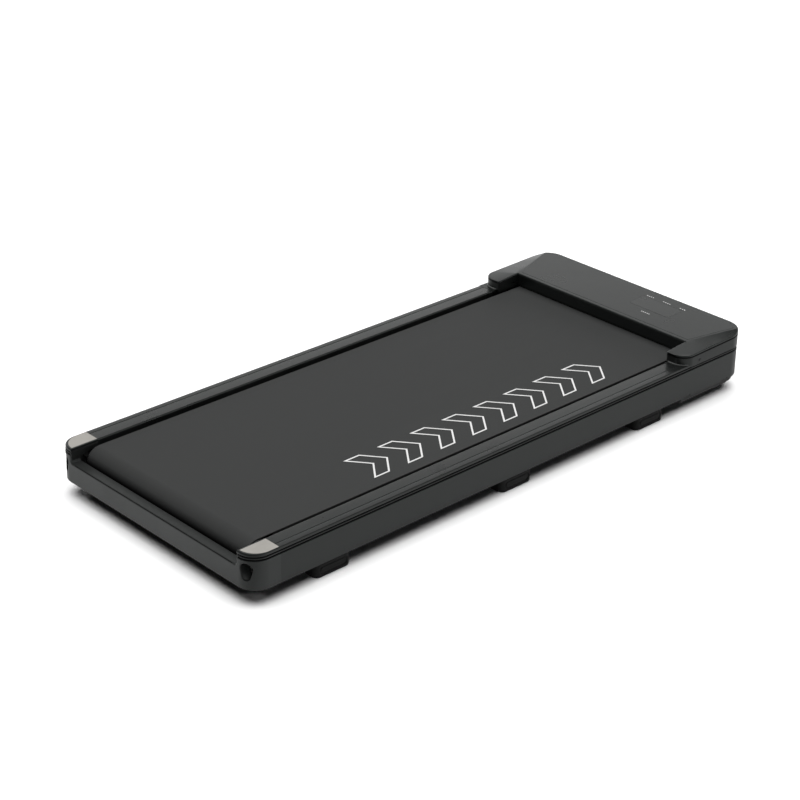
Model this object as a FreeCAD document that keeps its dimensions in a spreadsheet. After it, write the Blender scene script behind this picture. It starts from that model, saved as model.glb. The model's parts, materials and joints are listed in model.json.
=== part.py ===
import FreeCAD, Part
import math
import os

import Sketcher
from FreeCAD import Vector

# Walking pad: a low treadmill with no handrail. +X is the walker's right, +Y is forward to the
# hood, +Z is up. The middle of the floor under the machine is the origin. Lengths are millimetres.

# Driving sizes: name, value, meaning
SIZES = [
    ("overall_length", 1172, "front of the hood to back of the rear cap"),
    ("overall_width", 510, "across the side covers"),
    ("corner_radius", 42, "plan radius of the front corners"),
    ("rear_corner_radius", 34, "plan radius of the rear corners"),
    ("wall_thickness", 2.5, "side covers, tray and hood walls"),
    ("wall_bottom", 29.5, "floor to the lower edge of the walls"),
    ("wall_top", 80.5, "floor to the upper edge of the walls"),
    ("reveal_height", 7, "shadow gap between walls and top pieces"),
    ("reveal_depth", 2, "how far the shadow gap is set in"),
    ("bead_lift", 2.9, "upper edge of the walls to the bead in the shadow gap"),
    ("bead_height", 1.8, "bead in the shadow gap"),
    ("bead_setback", 0.4, "bead in from the walls"),
    ("rail_thickness", 4.5, "foot rails above the shadow gap"),
    ("rail_edge", 1.5, "edge break of the foot rails"),
    ("rail_skirt", 2.3, "thickness of the skirt beside the belt"),
    ("rail_skirt_drop", 9.5, "skirt below the rail seat"),
    ("rail_groove_inset", 14, "outer edge of the machine to the grip groove"),
    ("rail_groove_width", 1.2, "grip groove along the foot rails"),
    ("rail_groove_depth", 0.5, "grip groove along the foot rails"),
    ("rail_gap", 10, "front end of the foot rails to the hood arms"),
    ("rail_width", 38, "foot rails across"),
    ("rail_setback", 1, "foot rails and end caps in from the walls"),
    ("rail_fit", 0.2, "skirts of the foot rails to the side covers"),
    ("rear_cap_length", 56, "rear cap along the machine"),
    ("rear_bar_depth", 19, "rear bar along the machine"),
    ("rear_bar_top", 66.5, "floor to the top of the rear bar"),
    ("rear_bar_round", 3, "rounded rear edge of the bar"),
    ("bar_end_round", 5, "hollow between the bar and the corners"),
    ("cap_wall", 3, "rear cap walls"),
    ("cap_hollow_flat", 0.5, "flat beside the round of the rear cap's hollows"),
    ("axle_room", 2, "room behind the rear axle in the rear cap"),
    ("tray_length", 178, "front tray along the machine"),
    ("lip_width", 10, "inward lip at the foot of the tray walls"),
    ("lip_thickness", 2, "inward lips of tray and side covers"),
    ("notch_length", 18, "drain notches under the tray walls"),
    ("notch_rise", 0.5, "drain notches above the tray's lip"),
    ("front_notch", 48, "front of the machine to the front notches"),
    ("rear_notch", 154, "front of the machine to the rear notches"),
    ("cover_lip", 3.5, "inward lip at the foot of the side covers"),
    ("pan_inset", 5, "bottom cover set in from the walls"),
    ("pan_bottom", 14, "floor to the bottom cover"),
    ("pan_thickness", 2.5, "bottom cover plate"),
    ("pan_bevel", 7, "bevel round the bottom cover"),
    ("pan_rim", 8.5, "solid rim of the bottom cover"),
    ("pan_gap", 4, "rear edge of the bottom cover to the tray's seam"),
    ("boss_diameter", 13, "screw bosses of the bottom cover"),
    ("hood_depth", 126, "front of the hood to its rear face"),
    ("hood_rise", 26, "top of the foot rails to the hood's front edge"),
    ("hood_fall", 4.2, "hood's front edge down to its rear edge"),
    ("arm_fall", 3.8, "hood's rear edge down to the tips of its arms"),
    ("cover_front_depth", 6.5, "hood's front edge down to the cover's seam"),
    ("cover_arm_depth", 1.5, "tips of the arms down to the cover's seam"),
    ("hood_edge", 2, "side of the cover above its seam"),
    ("seam_height", 1.2, "shadow line under the cover"),
    ("seam_depth", 1.4, "shadow line under the cover"),
    ("hood_crease_front", 8, "front end of the crease, in from the side"),
    ("hood_face_drop", 23.8, "hood's rear edge down to the foot of its rear face"),
    ("hood_face_round", 2.5, "rounded edge over the hood's rear face"),
    ("arm_overhang", 5.5, "hood arms past the foot rails' inner edge"),
    ("arm_round", 25, "outer corner of the arm tips"),
    ("arm_tip_round", 4, "inner corner of the arm tips"),
    ("plinth_margin", 1.5, "ledge under the hood arms, past their walls"),
    ("plinth_setback", 0.5, "ledge in from the inner faces of the arms"),
    ("plinth_belt_room", 5, "drive belt to the left plinth"),
    ("panel_thickness", 1.7, "control panel"),
    ("panel_recess", 1.5, "pocket of the control panel in the cover"),
    ("panel_margin", 9, "control panel in from the edges of the top"),
    ("panel_side", 4, "control panel in from the creases"),
    ("panel_corner", 14, "front corners of the control panel"),
    ("panel_rear_corner", 3, "rear corners of the control panel"),
    ("panel_gap", 0.3, "line round the control panel"),
    ("display_width", 96, "display lens across"),
    ("display_depth", 41, "display lens fore and aft"),
    ("display_offset", 77, "display lens right of the middle"),
    ("display_rear", 54, "hood's rear face to the display lens"),
    ("display_corner", 4, "corner radius of the display lens"),
    ("lens_proud", 0.05, "display lens above the control panel"),
    ("window_margin", 6, "window under the display lens, past its edges"),
    ("window_depth", 10, "window under the display lens"),
    ("display_board_lift", 0.4, "display board above the seam"),
    ("display_board_margin", 2, "display board past the lens"),
    ("board_thickness", 1.6, "circuit boards"),
    ("belt_side_gap", 11, "running belt to the foot rails"),
    ("belt_thickness", 1.6, "running belt"),
    ("belt_top", 87.5, "floor to the walking surface"),
    ("belt_play", 0.3, "rollers to the belt"),
    ("deck_play", 0.2, "deck to the belt"),
    ("roller_diameter", 50.4, "both rollers"),
    ("roller_wall", 3, "roller tube"),
    ("roller_side_gap", 9, "roller ends to the foot rails"),
    ("rear_roller_inset", 51, "rear end to the rear roller's axis"),
    ("front_roller_inset", 106, "front end to the front roller's axis"),
    ("axle_diameter", 15, "both axles"),
    ("axle_setback", 1, "rear axle in from the beams' outer faces"),
    ("bearing_width", 11, "roller bearings"),
    ("bearing_setback", 1, "bearings in from the roller ends"),
    ("bearing_play", 0.05, "bearing to axle, and bearing to roller"),
    ("deck_thickness", 12, "deck board"),
    ("deck_side_gap", 12, "deck board to the foot rails"),
    ("deck_end_gap", 30, "roller axes to the deck's ends"),
    ("deck_edge", 4, "rounded ends of the deck"),
    ("beam_inset", 8, "outer face of the machine to the beams"),
    ("beam_width", 24, "frame beams"),
    ("beam_bottom", 32, "floor to the beams"),
    ("beam_wall", 2, "frame beams"),
    ("beam_end", 4, "closed rear end of the beams"),
    ("beam_rear_inset", 26, "rear end of the machine to the beams"),
    ("beam_front_inset", 146, "front end of the machine to the beams"),
    ("tension_travel", 12, "adjusting travel of the rear axle"),
    ("fit_gap", 0.3, "free gap round bolts, pins and axles"),
    ("bolt_diameter", 8, "tension bolts"),
    ("bolt_head", 13, "tension bolt heads"),
    ("bolt_head_height", 8, "tension bolt heads"),
    ("bolt_length", 41, "tension bolts below the head"),
    ("bolt_key", 6, "hexagon key of the tension bolts"),
    ("access_width", 20, "access holes of the tension bolts across their upper end"),
    ("access_foot", 14, "access holes across their lower end"),
    ("access_height", 30.5, "access holes of the tension bolts"),
    ("tube_rear_inset", 65, "rear end of the deck to the first cross tube"),
    ("tube_front_inset", 40, "front end of the deck to the last cross tube"),
    ("tube_depth", 30, "cross tubes along the machine"),
    ("tube_height", 20, "cross tubes"),
    ("tube_wall", 1.5, "cross tubes"),
    ("cushion_height", 5.7, "rubber cushions under the deck"),
    ("cushion_diameter", 30, "rubber cushions under the deck"),
    ("cushion_inset", 55, "side of the deck to the cushions"),
    ("screw_diameter", 6, "deck and foot screws"),
    ("screw_head", 12, "deck and foot screw heads"),
    ("screw_head_height", 3, "deck and foot screw heads"),
    ("deck_screw_reach", 6, "deck screws below the cushions"),
    ("deck_screw_sink", 0.2, "deck screw heads below the deck's top"),
    ("foot_screw_reach", 8, "foot screws inside the beams"),
    ("cover_screw_diameter", 4, "bottom cover screws"),
    ("cover_screw_head", 8, "bottom cover screw heads"),
    ("cover_screw_head_height", 2.6, "bottom cover screw heads"),
    ("cover_screw_sink", 3, "wells of the bottom cover screws"),
    ("cover_screw_reach", 3, "bottom cover screws past the motor plate"),
    ("cover_screw_left", 60, "left cover screws from the middle line"),
    ("cover_screw_right", 80, "side of the machine to the right cover screws"),
    ("cover_screw_front", 30, "front of the machine to the front cover screws"),
    ("cover_screw_rear", 72, "front of the machine to the rear cover screws"),
    ("hood_screw_diameter", 3, "hood screws"),
    ("hood_screw_head", 5.6, "hood screw heads"),
    ("hood_screw_reach", 14, "side of the machine to the hood screws' tips"),
    ("hood_screw_well", 1.4, "wells of the hood screws"),
    ("hood_screw_setback", 0.4, "hood screw heads in from the side"),
    ("hood_screw_back", 10, "hood's rear face back to the hood screws"),
    ("hood_screw_lift", 4.5, "top of the rails to the hood screws"),
    ("foot_length", 74, "rubber feet along the machine"),
    ("foot_width", 34, "rubber feet across"),
    ("foot_inset", 7, "side of the machine to the feet"),
    ("foot_corner", 11, "plan corners of the feet"),
    ("foot_edge", 3, "bottom edge of the feet"),
    ("foot_block", 24, "lower, wider part of the feet"),
    ("foot_neck_inset", 6, "upper part of the feet in from the lower"),
    ("foot_panel_depth", 1.8, "sunk panel on the feet's outer faces"),
    ("foot_panel_radius", 8, "round ends of the sunk panel"),
    ("foot_panel_height", 12.5, "floor to the middle of the sunk panel"),
    ("foot_panel_inset", 5, "sunk panel in from the feet's corners"),
    ("foot_bar_radius", 4.5, "round ends of the raised bar in the sunk panel"),
    ("foot_bar_rise", 1.2, "raised bar in the sunk panel"),
    ("rear_foot_inset", 168, "rear end of the machine to the rear feet"),
    ("middle_foot_back", 8, "middle of the machine back to the middle feet"),
    ("front_foot_inset", 254, "front end of the machine to the front feet"),
    ("wheel_diameter", 40, "transport wheels"),
    ("wheel_width", 22, "transport wheels"),
    ("wheel_lift", 4, "floor to the transport wheels"),
    ("wheel_side_inset", 31, "side of the machine to the middle of the wheels"),
    ("wheel_inset", 51, "front of the machine to the wheel pins"),
    ("wheel_well", 3, "room before and behind the transport wheels"),
    ("wheel_side_room", 2, "room beside the transport wheels"),
    ("wheel_hub", 18, "hubs of the transport wheels"),
    ("wheel_dish", 5, "dished sides of the transport wheels"),
    ("wheel_rim", 5, "rims of the transport wheels"),
    ("wheel_round", 2, "edges of the tread"),
    ("pin_diameter", 8, "wheel pins"),
    ("pin_past", 1.5, "wheel pins past the ears"),
    ("ear_thickness", 3, "ears of the wheel forks"),
    ("ear_length", 26, "ears of the wheel forks"),
    ("ear_drop", 7, "ears below the wheel pins"),
    ("bracket_thickness", 4, "front brackets"),
    ("bracket_room", 1, "front brackets to the walls' inner shoulder above"),
    ("bracket_overlap", 45, "front brackets along the beams"),
    ("bracket_inset", 38, "front of the machine to the brackets"),
    ("bracket_bevel", 10, "cut rear corners of the brackets"),
    ("bracket_nose", 24, "sloping front of the brackets"),
    ("plate_thickness", 3, "motor plate"),
    ("plate_rear_inset", 80, "front of the machine to the plate's rear edge"),
    ("plate_front_inset", 9, "front of the machine to the plate's front edge"),
    ("plate_corner", 29, "front corners of the motor plate"),
    ("motor_diameter", 62, "motor can"),
    ("motor_length", 110, "motor can"),
    ("motor_inset", 43, "front of the machine to the motor's axis"),
    ("motor_height", 70, "floor to the motor's axis"),
    ("motor_gap", 6, "driven pulley to the motor"),
    ("bell_diameter", 54, "end bells of the motor"),
    ("bell_length", 5, "end bells of the motor"),
    ("shaft_diameter", 8, "motor shaft"),
    ("fan_diameter", 52, "motor fan"),
    ("fan_width", 7, "motor fan"),
    ("fan_gap", 2, "motor's end bell to the fan"),
    ("fan_disc", 1.5, "disc of the motor fan"),
    ("fan_hub", 3, "hub wall of the motor fan"),
    ("blade_width", 2, "blades of the motor fan"),
    ("blade_setback", 1, "blades in from the edge of the disc"),
    ("shaft_past", 2, "motor shaft past the fan and the pulley"),
    ("strap_thickness", 2, "straps over the motor"),
    ("strap_width", 18, "straps over the motor"),
    ("strap_play", 0.1, "straps to the motor can"),
    ("pulley_width", 24, "both pulleys"),
    ("roller_pulley", 56, "pulley on the front roller"),
    ("motor_pulley", 20, "pulley on the motor"),
    ("rib_pitch", 3.56, "grooves of the pulleys"),
    ("rib_depth", 2, "grooves of the pulleys"),
    ("rib_land", 0.4, "flat land beside each groove"),
    ("spigot_length", 14, "driven pulley's spigot in the front roller"),
    ("pulley_play", 1, "driven pulley to the axle"),
    ("drive_belt_width", 20, "ribbed drive belt"),
    ("drive_belt_thickness", 2.6, "ribbed drive belt"),
    ("control_length", 130, "motor controller board across"),
    ("control_depth", 44, "motor controller board fore and aft"),
    ("control_height", 42, "floor to the controller board"),
    ("control_offset", 20, "middle line to the controller board"),
    ("control_inset", 75, "front of the machine to the board's rear edge"),
    ("pillar_diameter", 8, "pillars under the controller board"),
    ("pillar_inset", 6, "pillars in from the board's edges"),
    ("sink_inset", 8, "heat sink in from the board's left end"),
    ("sink_margin", 4, "heat sink in from the board's long edges"),
    ("sink_height", 24, "heat sink above the board"),
    ("sink_base", 5, "base of the heat sink"),
    ("fin_pitch", 9, "fins of the heat sink"),
    ("fin_thickness", 4, "fins of the heat sink"),
    ("capacitor_diameter", 18, "capacitors"),
    ("capacitor_height", 28, "capacitors"),
    ("capacitor_pitch", 24, "rows of capacitors from the board's right end"),
    ("socket_panel_width", 118, "sunk panel of the power parts"),
    ("socket_panel_height", 34, "sunk panel of the power parts"),
    ("socket_panel_depth", 5, "sunk panel of the power parts"),
    ("socket_panel_inset", 105, "side of the machine to the middle of the sunk panel"),
    ("socket_rise", 26.75, "foot of the walls to the middle of the power parts"),
    ("socket_corner", 3, "corners of the sunk panel"),
    ("flange_thickness", 2, "flanges of the power parts"),
    ("flange_width", 2, "flanges of the power parts"),
    ("flange_corner", 1.5, "corners of the flanges"),
    ("inlet_width", 30, "power inlet body"),
    ("inlet_height", 24, "power inlet body"),
    ("inlet_depth", 22, "power inlet behind the panel"),
    ("inlet_inset", 26, "right end of the sunk panel to the inlet"),
    ("inlet_flange", 4, "flange beside the inlet"),
    ("inlet_floor", 4, "closed end of the inlet"),
    ("mouth_wall", 3, "walls beside the inlet's mouth"),
    ("mouth_margin", 3.5, "walls over and under the inlet's mouth"),
    ("mouth_bevel", 5, "cut corners of the inlet's mouth"),
    ("blade_pin_width", 2, "inlet pins across"),
    ("blade_pin_height", 5, "inlet pins"),
    ("blade_pin_pitch", 7, "outer inlet pins from the middle one"),
    ("blade_pin_drop", 1.5, "outer inlet pins below the middle"),
    ("earth_pin_rise", 2.5, "middle inlet pin above the middle"),
    ("blade_pin_setback", 4, "inlet pins in from the panel"),
    ("switch_width", 14, "switch opening"),
    ("switch_height", 20, "switch opening"),
    ("switch_depth", 18, "switch behind the panel"),
    ("switch_wall", 1.1, "walls of the switch"),
    ("rocker_sink", 3, "rocker's pivot behind the panel"),
    ("rocker_room", 7, "well behind the rocker's pivot"),
    ("rocker_back", 2, "rocker's plate behind its pivot"),
    ("rocker_hub", 4, "radius of the rocker's hub round its pivot"),
    ("rocker_face", 5.5, "rocker before its pivot"),
    ("rocker_dip", 0.9, "hollow of the rocker's face"),
    ("rocker_play", 0.9, "rocker to the ends of its well"),
    ("rocker_tilt", 7, "rocker from level, in degrees"),
    ("breaker_diameter", 14, "breaker neck"),
    ("breaker_depth", 25, "breaker behind the panel"),
    ("breaker_inset", 20, "left end of the sunk panel to the breaker"),
    ("breaker_button", 8, "breaker button"),
    ("breaker_well", 11, "well of the breaker button"),
    ("button_setback", 0.5, "breaker button in from both ends of its well"),
]

doc = FreeCAD.newDocument("walking_pad")
sheet = doc.addObject("Spreadsheet::Sheet", "Sizes")
for row, (alias, value, meaning) in enumerate(SIZES, 1):
    sheet.set(f"A{row}", meaning)
    sheet.set(f"B{row}", str(value))
    sheet.setAlias(f"B{row}", alias)
doc.recompute()


class Size:
    """A length held two ways: its value now, and the sheet formula that it follows."""

    def __init__(self, value, formula):
        self.value = value
        self.formula = formula

    def __add__(self, other):
        other = as_size(other)
        return Size(self.value + other.value, f"({self.formula} + {other.formula})")

    def __radd__(self, other):
        return as_size(other) + self

    def __sub__(self, other):
        other = as_size(other)
        return Size(self.value - other.value, f"({self.formula} - {other.formula})")

    def __rsub__(self, other):
        return as_size(other) - self

    def __mul__(self, other):
        other = as_size(other)
        return Size(self.value * other.value, f"({self.formula} * {other.formula})")

    def __rmul__(self, other):
        return as_size(other) * self

    def __truediv__(self, other):
        other = as_size(other)
        return Size(self.value / other.value, f"({self.formula} / {other.formula})")

    def __neg__(self):
        return Size(-self.value, f"(-1 * {self.formula})")


def as_size(number):
    """A plain number as a Size."""
    if isinstance(number, Size):
        return number
    return Size(number, f"({number})")


def rise_angle(rise, run):
    """The angle of a slope, in degrees."""
    angle = math.degrees(math.atan2(rise.value, run.value))
    return Size(angle, f"atan({rise.formula} / {run.formula})")


class Sheet:
    """The sheet's cells by name."""

    def __getattr__(self, name):
        return Size(float(sheet.get(name)), f"Sizes.{name}")


size = Sheet()
nodes = []


class Outline:
    """A closed outline through corners (x, y) or, where rounded, (x, y, radius)."""

    def __init__(self, *corners):
        self.corners = [tuple(as_size(number) for number in corner) for corner in corners]

    def draw(self, sketch):
        count = len(self.corners)
        places = [Vector(corner[0].value, corner[1].value, 0) for corner in self.corners]
        rounds = [round_corner(places[k - 1], places[k], places[(k + 1) % count], corner[2].value)
                  if len(corner) == 3 else None for k, corner in enumerate(self.corners)]
        lines = []
        for k in range(count):
            start = rounds[k]["leave"] if rounds[k] else places[k]
            ahead = rounds[(k + 1) % count]
            end = ahead["arrive"] if ahead else places[(k + 1) % count]
            lines.append(sketch.addGeometry(Part.LineSegment(start, end)))
        for k, corner in enumerate(self.corners):
            before, after = lines[k - 1], lines[k]
            if rounds[k]:
                arc = sketch.addGeometry(rounds[k]["arc"])
                mark = sketch.addGeometry(Part.Point(places[k]), True)
                first, last = (1, 2) if rounds[k]["forward"] else (2, 1)
                sketch.addConstraint([
                    Sketcher.Constraint("Tangent", before, 2, arc, first),
                    Sketcher.Constraint("Tangent", arc, last, after, 1),
                    Sketcher.Constraint("PointOnObject", mark, 1, before),
                    Sketcher.Constraint("PointOnObject", mark, 1, after)])
                tie_radius(sketch, arc, corner[2])
                tie_point(sketch, mark, 1, corner[0], corner[1])
            else:
                sketch.addConstraint(Sketcher.Constraint("Coincident", before, 2, after, 1))
                tie_point(sketch, after, 1, corner[0], corner[1])


class Circle:
    """A circle about (x, y)."""

    def __init__(self, x, y, radius):
        self.x, self.y, self.radius = as_size(x), as_size(y), as_size(radius)

    def draw(self, sketch):
        centre = Vector(self.x.value, self.y.value, 0)
        circle = sketch.addGeometry(Part.Circle(centre, Vector(0, 0, 1), self.radius.value))
        tie_point(sketch, circle, 3, self.x, self.y)
        tie_radius(sketch, circle, self.radius)


class Loop:
    """The closed outline that a taut band makes round two circles, each (x, y, radius)."""

    def __init__(self, first, second):
        self.ends = [tuple(as_size(number) for number in end) for end in (first, second)]

    def draw(self, sketch):
        (ax, ay, ar), (bx, by, br) = self.ends
        heading = math.atan2(by.value - ay.value, bx.value - ax.value)
        apart = math.hypot(bx.value - ax.value, by.value - ay.value)
        lean = math.acos((ar.value - br.value) / apart)
        touch = {}
        for side in (1, -1):
            turn = Vector(math.cos(heading + side * lean), math.sin(heading + side * lean), 0)
            touch[side] = (Vector(ax.value, ay.value, 0) + turn * ar.value,
                           Vector(bx.value, by.value, 0) + turn * br.value)
        left = sketch.addGeometry(Part.LineSegment(touch[1][1], touch[1][0]))
        right = sketch.addGeometry(Part.LineSegment(touch[-1][0], touch[-1][1]))
        round_a = Part.Circle(Vector(ax.value, ay.value, 0), Vector(0, 0, 1), ar.value)
        round_b = Part.Circle(Vector(bx.value, by.value, 0), Vector(0, 0, 1), br.value)
        arc_a = sketch.addGeometry(
            Part.ArcOfCircle(round_a, heading + lean, heading + 2 * math.pi - lean))
        arc_b = sketch.addGeometry(Part.ArcOfCircle(round_b, heading - lean, heading + lean))
        sketch.addConstraint([
            Sketcher.Constraint("Tangent", left, 2, arc_a, 1),
            Sketcher.Constraint("Tangent", arc_a, 2, right, 1),
            Sketcher.Constraint("Tangent", right, 2, arc_b, 1),
            Sketcher.Constraint("Tangent", arc_b, 2, left, 1)])
        for arc, (x, y, radius) in ((arc_a, self.ends[0]), (arc_b, self.ends[1])):
            tie_point(sketch, arc, 3, x, y)
            tie_radius(sketch, arc, radius)


def round_corner(before, corner, after, radius):
    """Arc of the given radius tangent to the two lines that meet at a corner."""
    back = (before - corner).normalize()
    ahead = (after - corner).normalize()
    half = back.getAngle(ahead) / 2
    reach = radius / math.tan(half)
    arrive, leave = corner + back * reach, corner + ahead * reach
    centre = corner + (back + ahead).normalize() * (radius / math.sin(half))
    forward = (arrive - centre).cross(leave - centre).z > 0
    start, end = (arrive, leave) if forward else (leave, arrive)
    begin = math.atan2(start.y - centre.y, start.x - centre.x)
    finish = math.atan2(end.y - centre.y, end.x - centre.x)
    if finish < begin:
        finish += 2 * math.pi
    arc = Part.ArcOfCircle(Part.Circle(centre, Vector(0, 0, 1), radius), begin, finish)
    return {"arc": arc, "arrive": arrive, "leave": leave, "forward": forward}


def tie_point(sketch, geometry, end, x, y):
    """Hold a sketch point at (x, y) from the sketch's origin."""
    for kind, axis, place in (("DistanceX", -2, x), ("DistanceY", -1, y)):
        if abs(place.value) < 1e-9:
            sketch.addConstraint(Sketcher.Constraint("PointOnObject", geometry, end, axis))
        elif place.value > 0:
            tied = sketch.addConstraint(
                Sketcher.Constraint(kind, -1, 1, geometry, end, place.value))
            sketch.setExpression(f"Constraints[{tied}]", place.formula)
        else:
            tied = sketch.addConstraint(
                Sketcher.Constraint(kind, geometry, end, -1, 1, -place.value))
            sketch.setExpression(f"Constraints[{tied}]", (-place).formula)


def tie_radius(sketch, geometry, radius):
    """Hold the radius of an arc or circle."""
    tied = sketch.addConstraint(Sketcher.Constraint("Radius", geometry, radius.value))
    sketch.setExpression(f"Constraints[{tied}]", radius.formula)


def box(x0, x1, y0, y1, radius=None):
    """A rectangle between two corners, rounded when a radius is given."""
    corners = [(x0, y0), (x1, y0), (x1, y1), (x0, y1)]
    if radius is not None:
        corners = [corner + (radius,) for corner in corners]
    return Outline(*corners)


class Piece:
    """One sub-part: a body whose sketches and features follow the sheet."""

    def __init__(self, label, node=True):
        self.body = doc.addObject("PartDesign::Body", label)
        self.body.Label = label
        self.body.AllowCompound = True
        if node:
            nodes.append(self.body)

    def origin(self, role):
        return next(item for item in self.body.Origin.OriginFeatures if item.Role == role)

    def sketch(self, plane, at, *shapes):
        """A sketch on an origin plane, moved along that plane's axis to the given place."""
        sketch = self.body.newObject("Sketcher::SketchObject", "Sketch")
        sketch.AttachmentSupport = [(self.origin("XY_Plane" if plane == "TOP" else plane + "_Plane"), "")]
        sketch.MapMode = "FlatFace"
        if plane == "TOP":
            lean_on_hood(sketch, as_size(at))
        else:
            offset = -as_size(at) if plane == "XZ" else as_size(at)
            sketch.setExpression("AttachmentOffset.Base.z", offset.formula)
        for shape in shapes:
            shape.draw(sketch)
        return sketch

    def add(self, plane, low, high, *shapes):
        """Material inside the outlines, from low to high along the plane's axis."""
        pad = self.body.newObject("PartDesign::Pad", "Pad")
        self.sweep(pad, self.sketch(plane, low, *shapes), low, high, plane == "XZ")

    def cut(self, plane, low, high, *shapes):
        """Room inside the outlines, from low to high along the plane's axis."""
        pocket = self.body.newObject("PartDesign::Pocket", "Pocket")
        self.sweep(pocket, self.sketch(plane, low, *shapes), low, high, plane != "XZ")

    def sweep(self, feature, sketch, low, high, turned):
        feature.Profile = sketch
        feature.Reversed = turned
        feature.setExpression("Length", (as_size(high) - as_size(low)).formula)
        self.body.Tip = feature

    def turn(self, plane, axis, *shapes):
        """Material swept all round an origin axis."""
        feature = self.body.newObject("PartDesign::Revolution", "Turned")
        feature.Profile = self.sketch(plane, 0, *shapes)
        feature.ReferenceAxis = (self.origin(axis + "_Axis"), [""])
        feature.Angle = 360
        self.body.Tip = feature

    def loft(self, sections):
        """Material ruled through sketches, each (place along Y, outline)."""
        sketches = [self.sketch("XZ", at, shape) for at, shape in sections]
        feature = self.body.newObject("PartDesign::AdditiveLoft", "Loft")
        feature.Profile = sketches[0]
        feature.Sections = sketches[1:]
        feature.Ruled = True
        self.body.Tip = feature

    def edges(self, test):
        doc.recompute()
        found = enumerate(self.body.Tip.Shape.Edges, 1)
        return [f"Edge{number}" for number, edge in found if test(edge)]

    def soften(self, kind, prop, test, amount):
        names = self.edges(test)
        base = self.body.Tip
        feature = self.body.newObject("PartDesign::" + kind, kind)
        feature.Base = (base, names)
        feature.setExpression(prop, as_size(amount).formula)
        self.body.Tip = feature

    def round(self, test, radius):
        self.soften("Fillet", "Radius", test, radius)

    def bevel(self, test, width):
        self.soften("Chamfer", "Size", test, width)

    def keep_inside(self, other):
        """Keep only what lies inside another body."""
        common = self.body.newObject("PartDesign::Boolean", "Common")
        common.Type = "Common"
        common.addObjects([other.body])
        self.body.Tip = common

    def place(self, x=0, y=0, z=0, tilt=None):
        """Move the whole body, after leaning it about the X axis when a tilt is given."""
        for axis, place in (("x", x), ("y", y), ("z", z)):
            self.body.setExpression(f"Placement.Base.{axis}", as_size(place).formula)
        if tilt is not None:
            self.body.Placement.Rotation = FreeCAD.Rotation(Vector(1, 0, 0), tilt.value)
            self.body.setExpression("Placement.Rotation.Angle", tilt.formula)


def lean_on_hood(sketch, at):
    """Lay a sketch parallel to the hood's sloping top, at a height above it."""
    angle = rise_angle(size.hood_fall, size.hood_depth)
    across = Size(math.sin(math.radians(angle.value)), f"sin({angle.formula})")
    upward = Size(math.cos(math.radians(angle.value)), f"cos({angle.formula})")
    sketch.AttachmentOffset = FreeCAD.Placement(
        Vector(0, 0, 0), FreeCAD.Rotation(Vector(1, 0, 0), angle.value))
    sketch.setExpression("AttachmentOffset.Rotation.Angle", angle.formula)
    sketch.setExpression("AttachmentOffset.Base.y", (hood_face - at * across).formula)
    sketch.setExpression("AttachmentOffset.Base.z", (hood_rear_top + at * upward).formula)


def lies_at(edge, axis, place, tolerance=0.01):
    """Whether a whole edge lies at one place along an axis."""
    limits = edge.BoundBox
    low, high = {"x": (limits.XMin, limits.XMax), "y": (limits.YMin, limits.YMax),
                 "z": (limits.ZMin, limits.ZMax)}[axis]
    return abs(low - place.value) < tolerance and abs(high - place.value) < tolerance


# Places that several pieces share. A cut runs past the face that it opens by the overrun.
half_width = size.overall_width / 2
front = size.overall_length / 2
rear = -front
overrun = as_size(1)
rail_seat = size.wall_top + size.reveal_height
rail_top = rail_seat + size.rail_thickness
neck = half_width - size.reveal_depth
neck_inside = neck - size.wall_thickness
bead = half_width - size.bead_setback
bead_bottom = size.wall_top + size.bead_lift
bead_top = bead_bottom + size.bead_height
wall_inside = half_width - size.wall_thickness
shelf = rail_seat - size.wall_thickness
shoulder = size.wall_top - size.wall_thickness
opening = half_width - size.rail_width
cap_seam = rear + size.rear_cap_length
tray_seam = front - size.tray_length
rail_front = tray_seam - size.rail_gap
bar_front = rear + size.rear_bar_depth
beam_outside = half_width - size.beam_inset
beam_inside = beam_outside - size.beam_width
beam_middle = beam_outside - size.beam_width / 2
beam_rear = rear + size.beam_rear_inset
beam_front = front - size.beam_front_inset
roller_radius = size.roller_diameter / 2
loop_radius = roller_radius + size.belt_play
roller_height = size.belt_top - size.belt_thickness - loop_radius
rear_roller = rear + size.rear_roller_inset
front_roller = front - size.front_roller_inset
axle_radius = size.axle_diameter / 2
deck_top = size.belt_top - size.belt_thickness - size.deck_play
deck_bottom = deck_top - size.deck_thickness
tube_top = deck_bottom - size.cushion_height
tube_bottom = tube_top - size.tube_height
hood_face = front - size.hood_depth
hood_front_top = rail_top + size.hood_rise
hood_rear_top = hood_front_top - size.hood_fall
hood_arm_top = hood_rear_top - size.arm_fall
hood_face_foot = hood_rear_top - size.hood_face_drop
seam_front = hood_front_top - size.cover_front_depth
seam_rear = hood_arm_top - size.cover_arm_depth
hood_face_inside = hood_face + size.wall_thickness
arm_inside = opening - size.arm_overhang
lip_top = size.wall_bottom + size.lip_thickness
plate_top = lip_top + size.plate_thickness
deck_rear = rear_roller + size.deck_end_gap
deck_front = front_roller - size.deck_end_gap
deck_half = opening - size.deck_side_gap
roller_half = opening - size.roller_side_gap
pulley_outside = roller_half + size.pulley_width
motor_end = roller_half - size.motor_gap - size.bell_length
motor_axis = front - size.motor_inset
wheel_axis = front - size.wheel_inset
wheel_middle = half_width - size.wheel_side_inset
wheel_height = size.wheel_lift + size.wheel_diameter / 2
bolt_hole = size.bolt_diameter / 2 + size.fit_gap
screw_hole = size.screw_diameter / 2 + size.fit_gap
screw_well = size.screw_head / 2 + size.fit_gap
cover_screw_hole = size.cover_screw_diameter / 2 + size.fit_gap
hood_screw_y = hood_face - size.hood_screw_back
hood_screw_z = rail_top + size.hood_screw_lift
hood_screw_seat = half_width - size.hood_screw_well
foot_screw_seat = size.beam_bottom / 2

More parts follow.
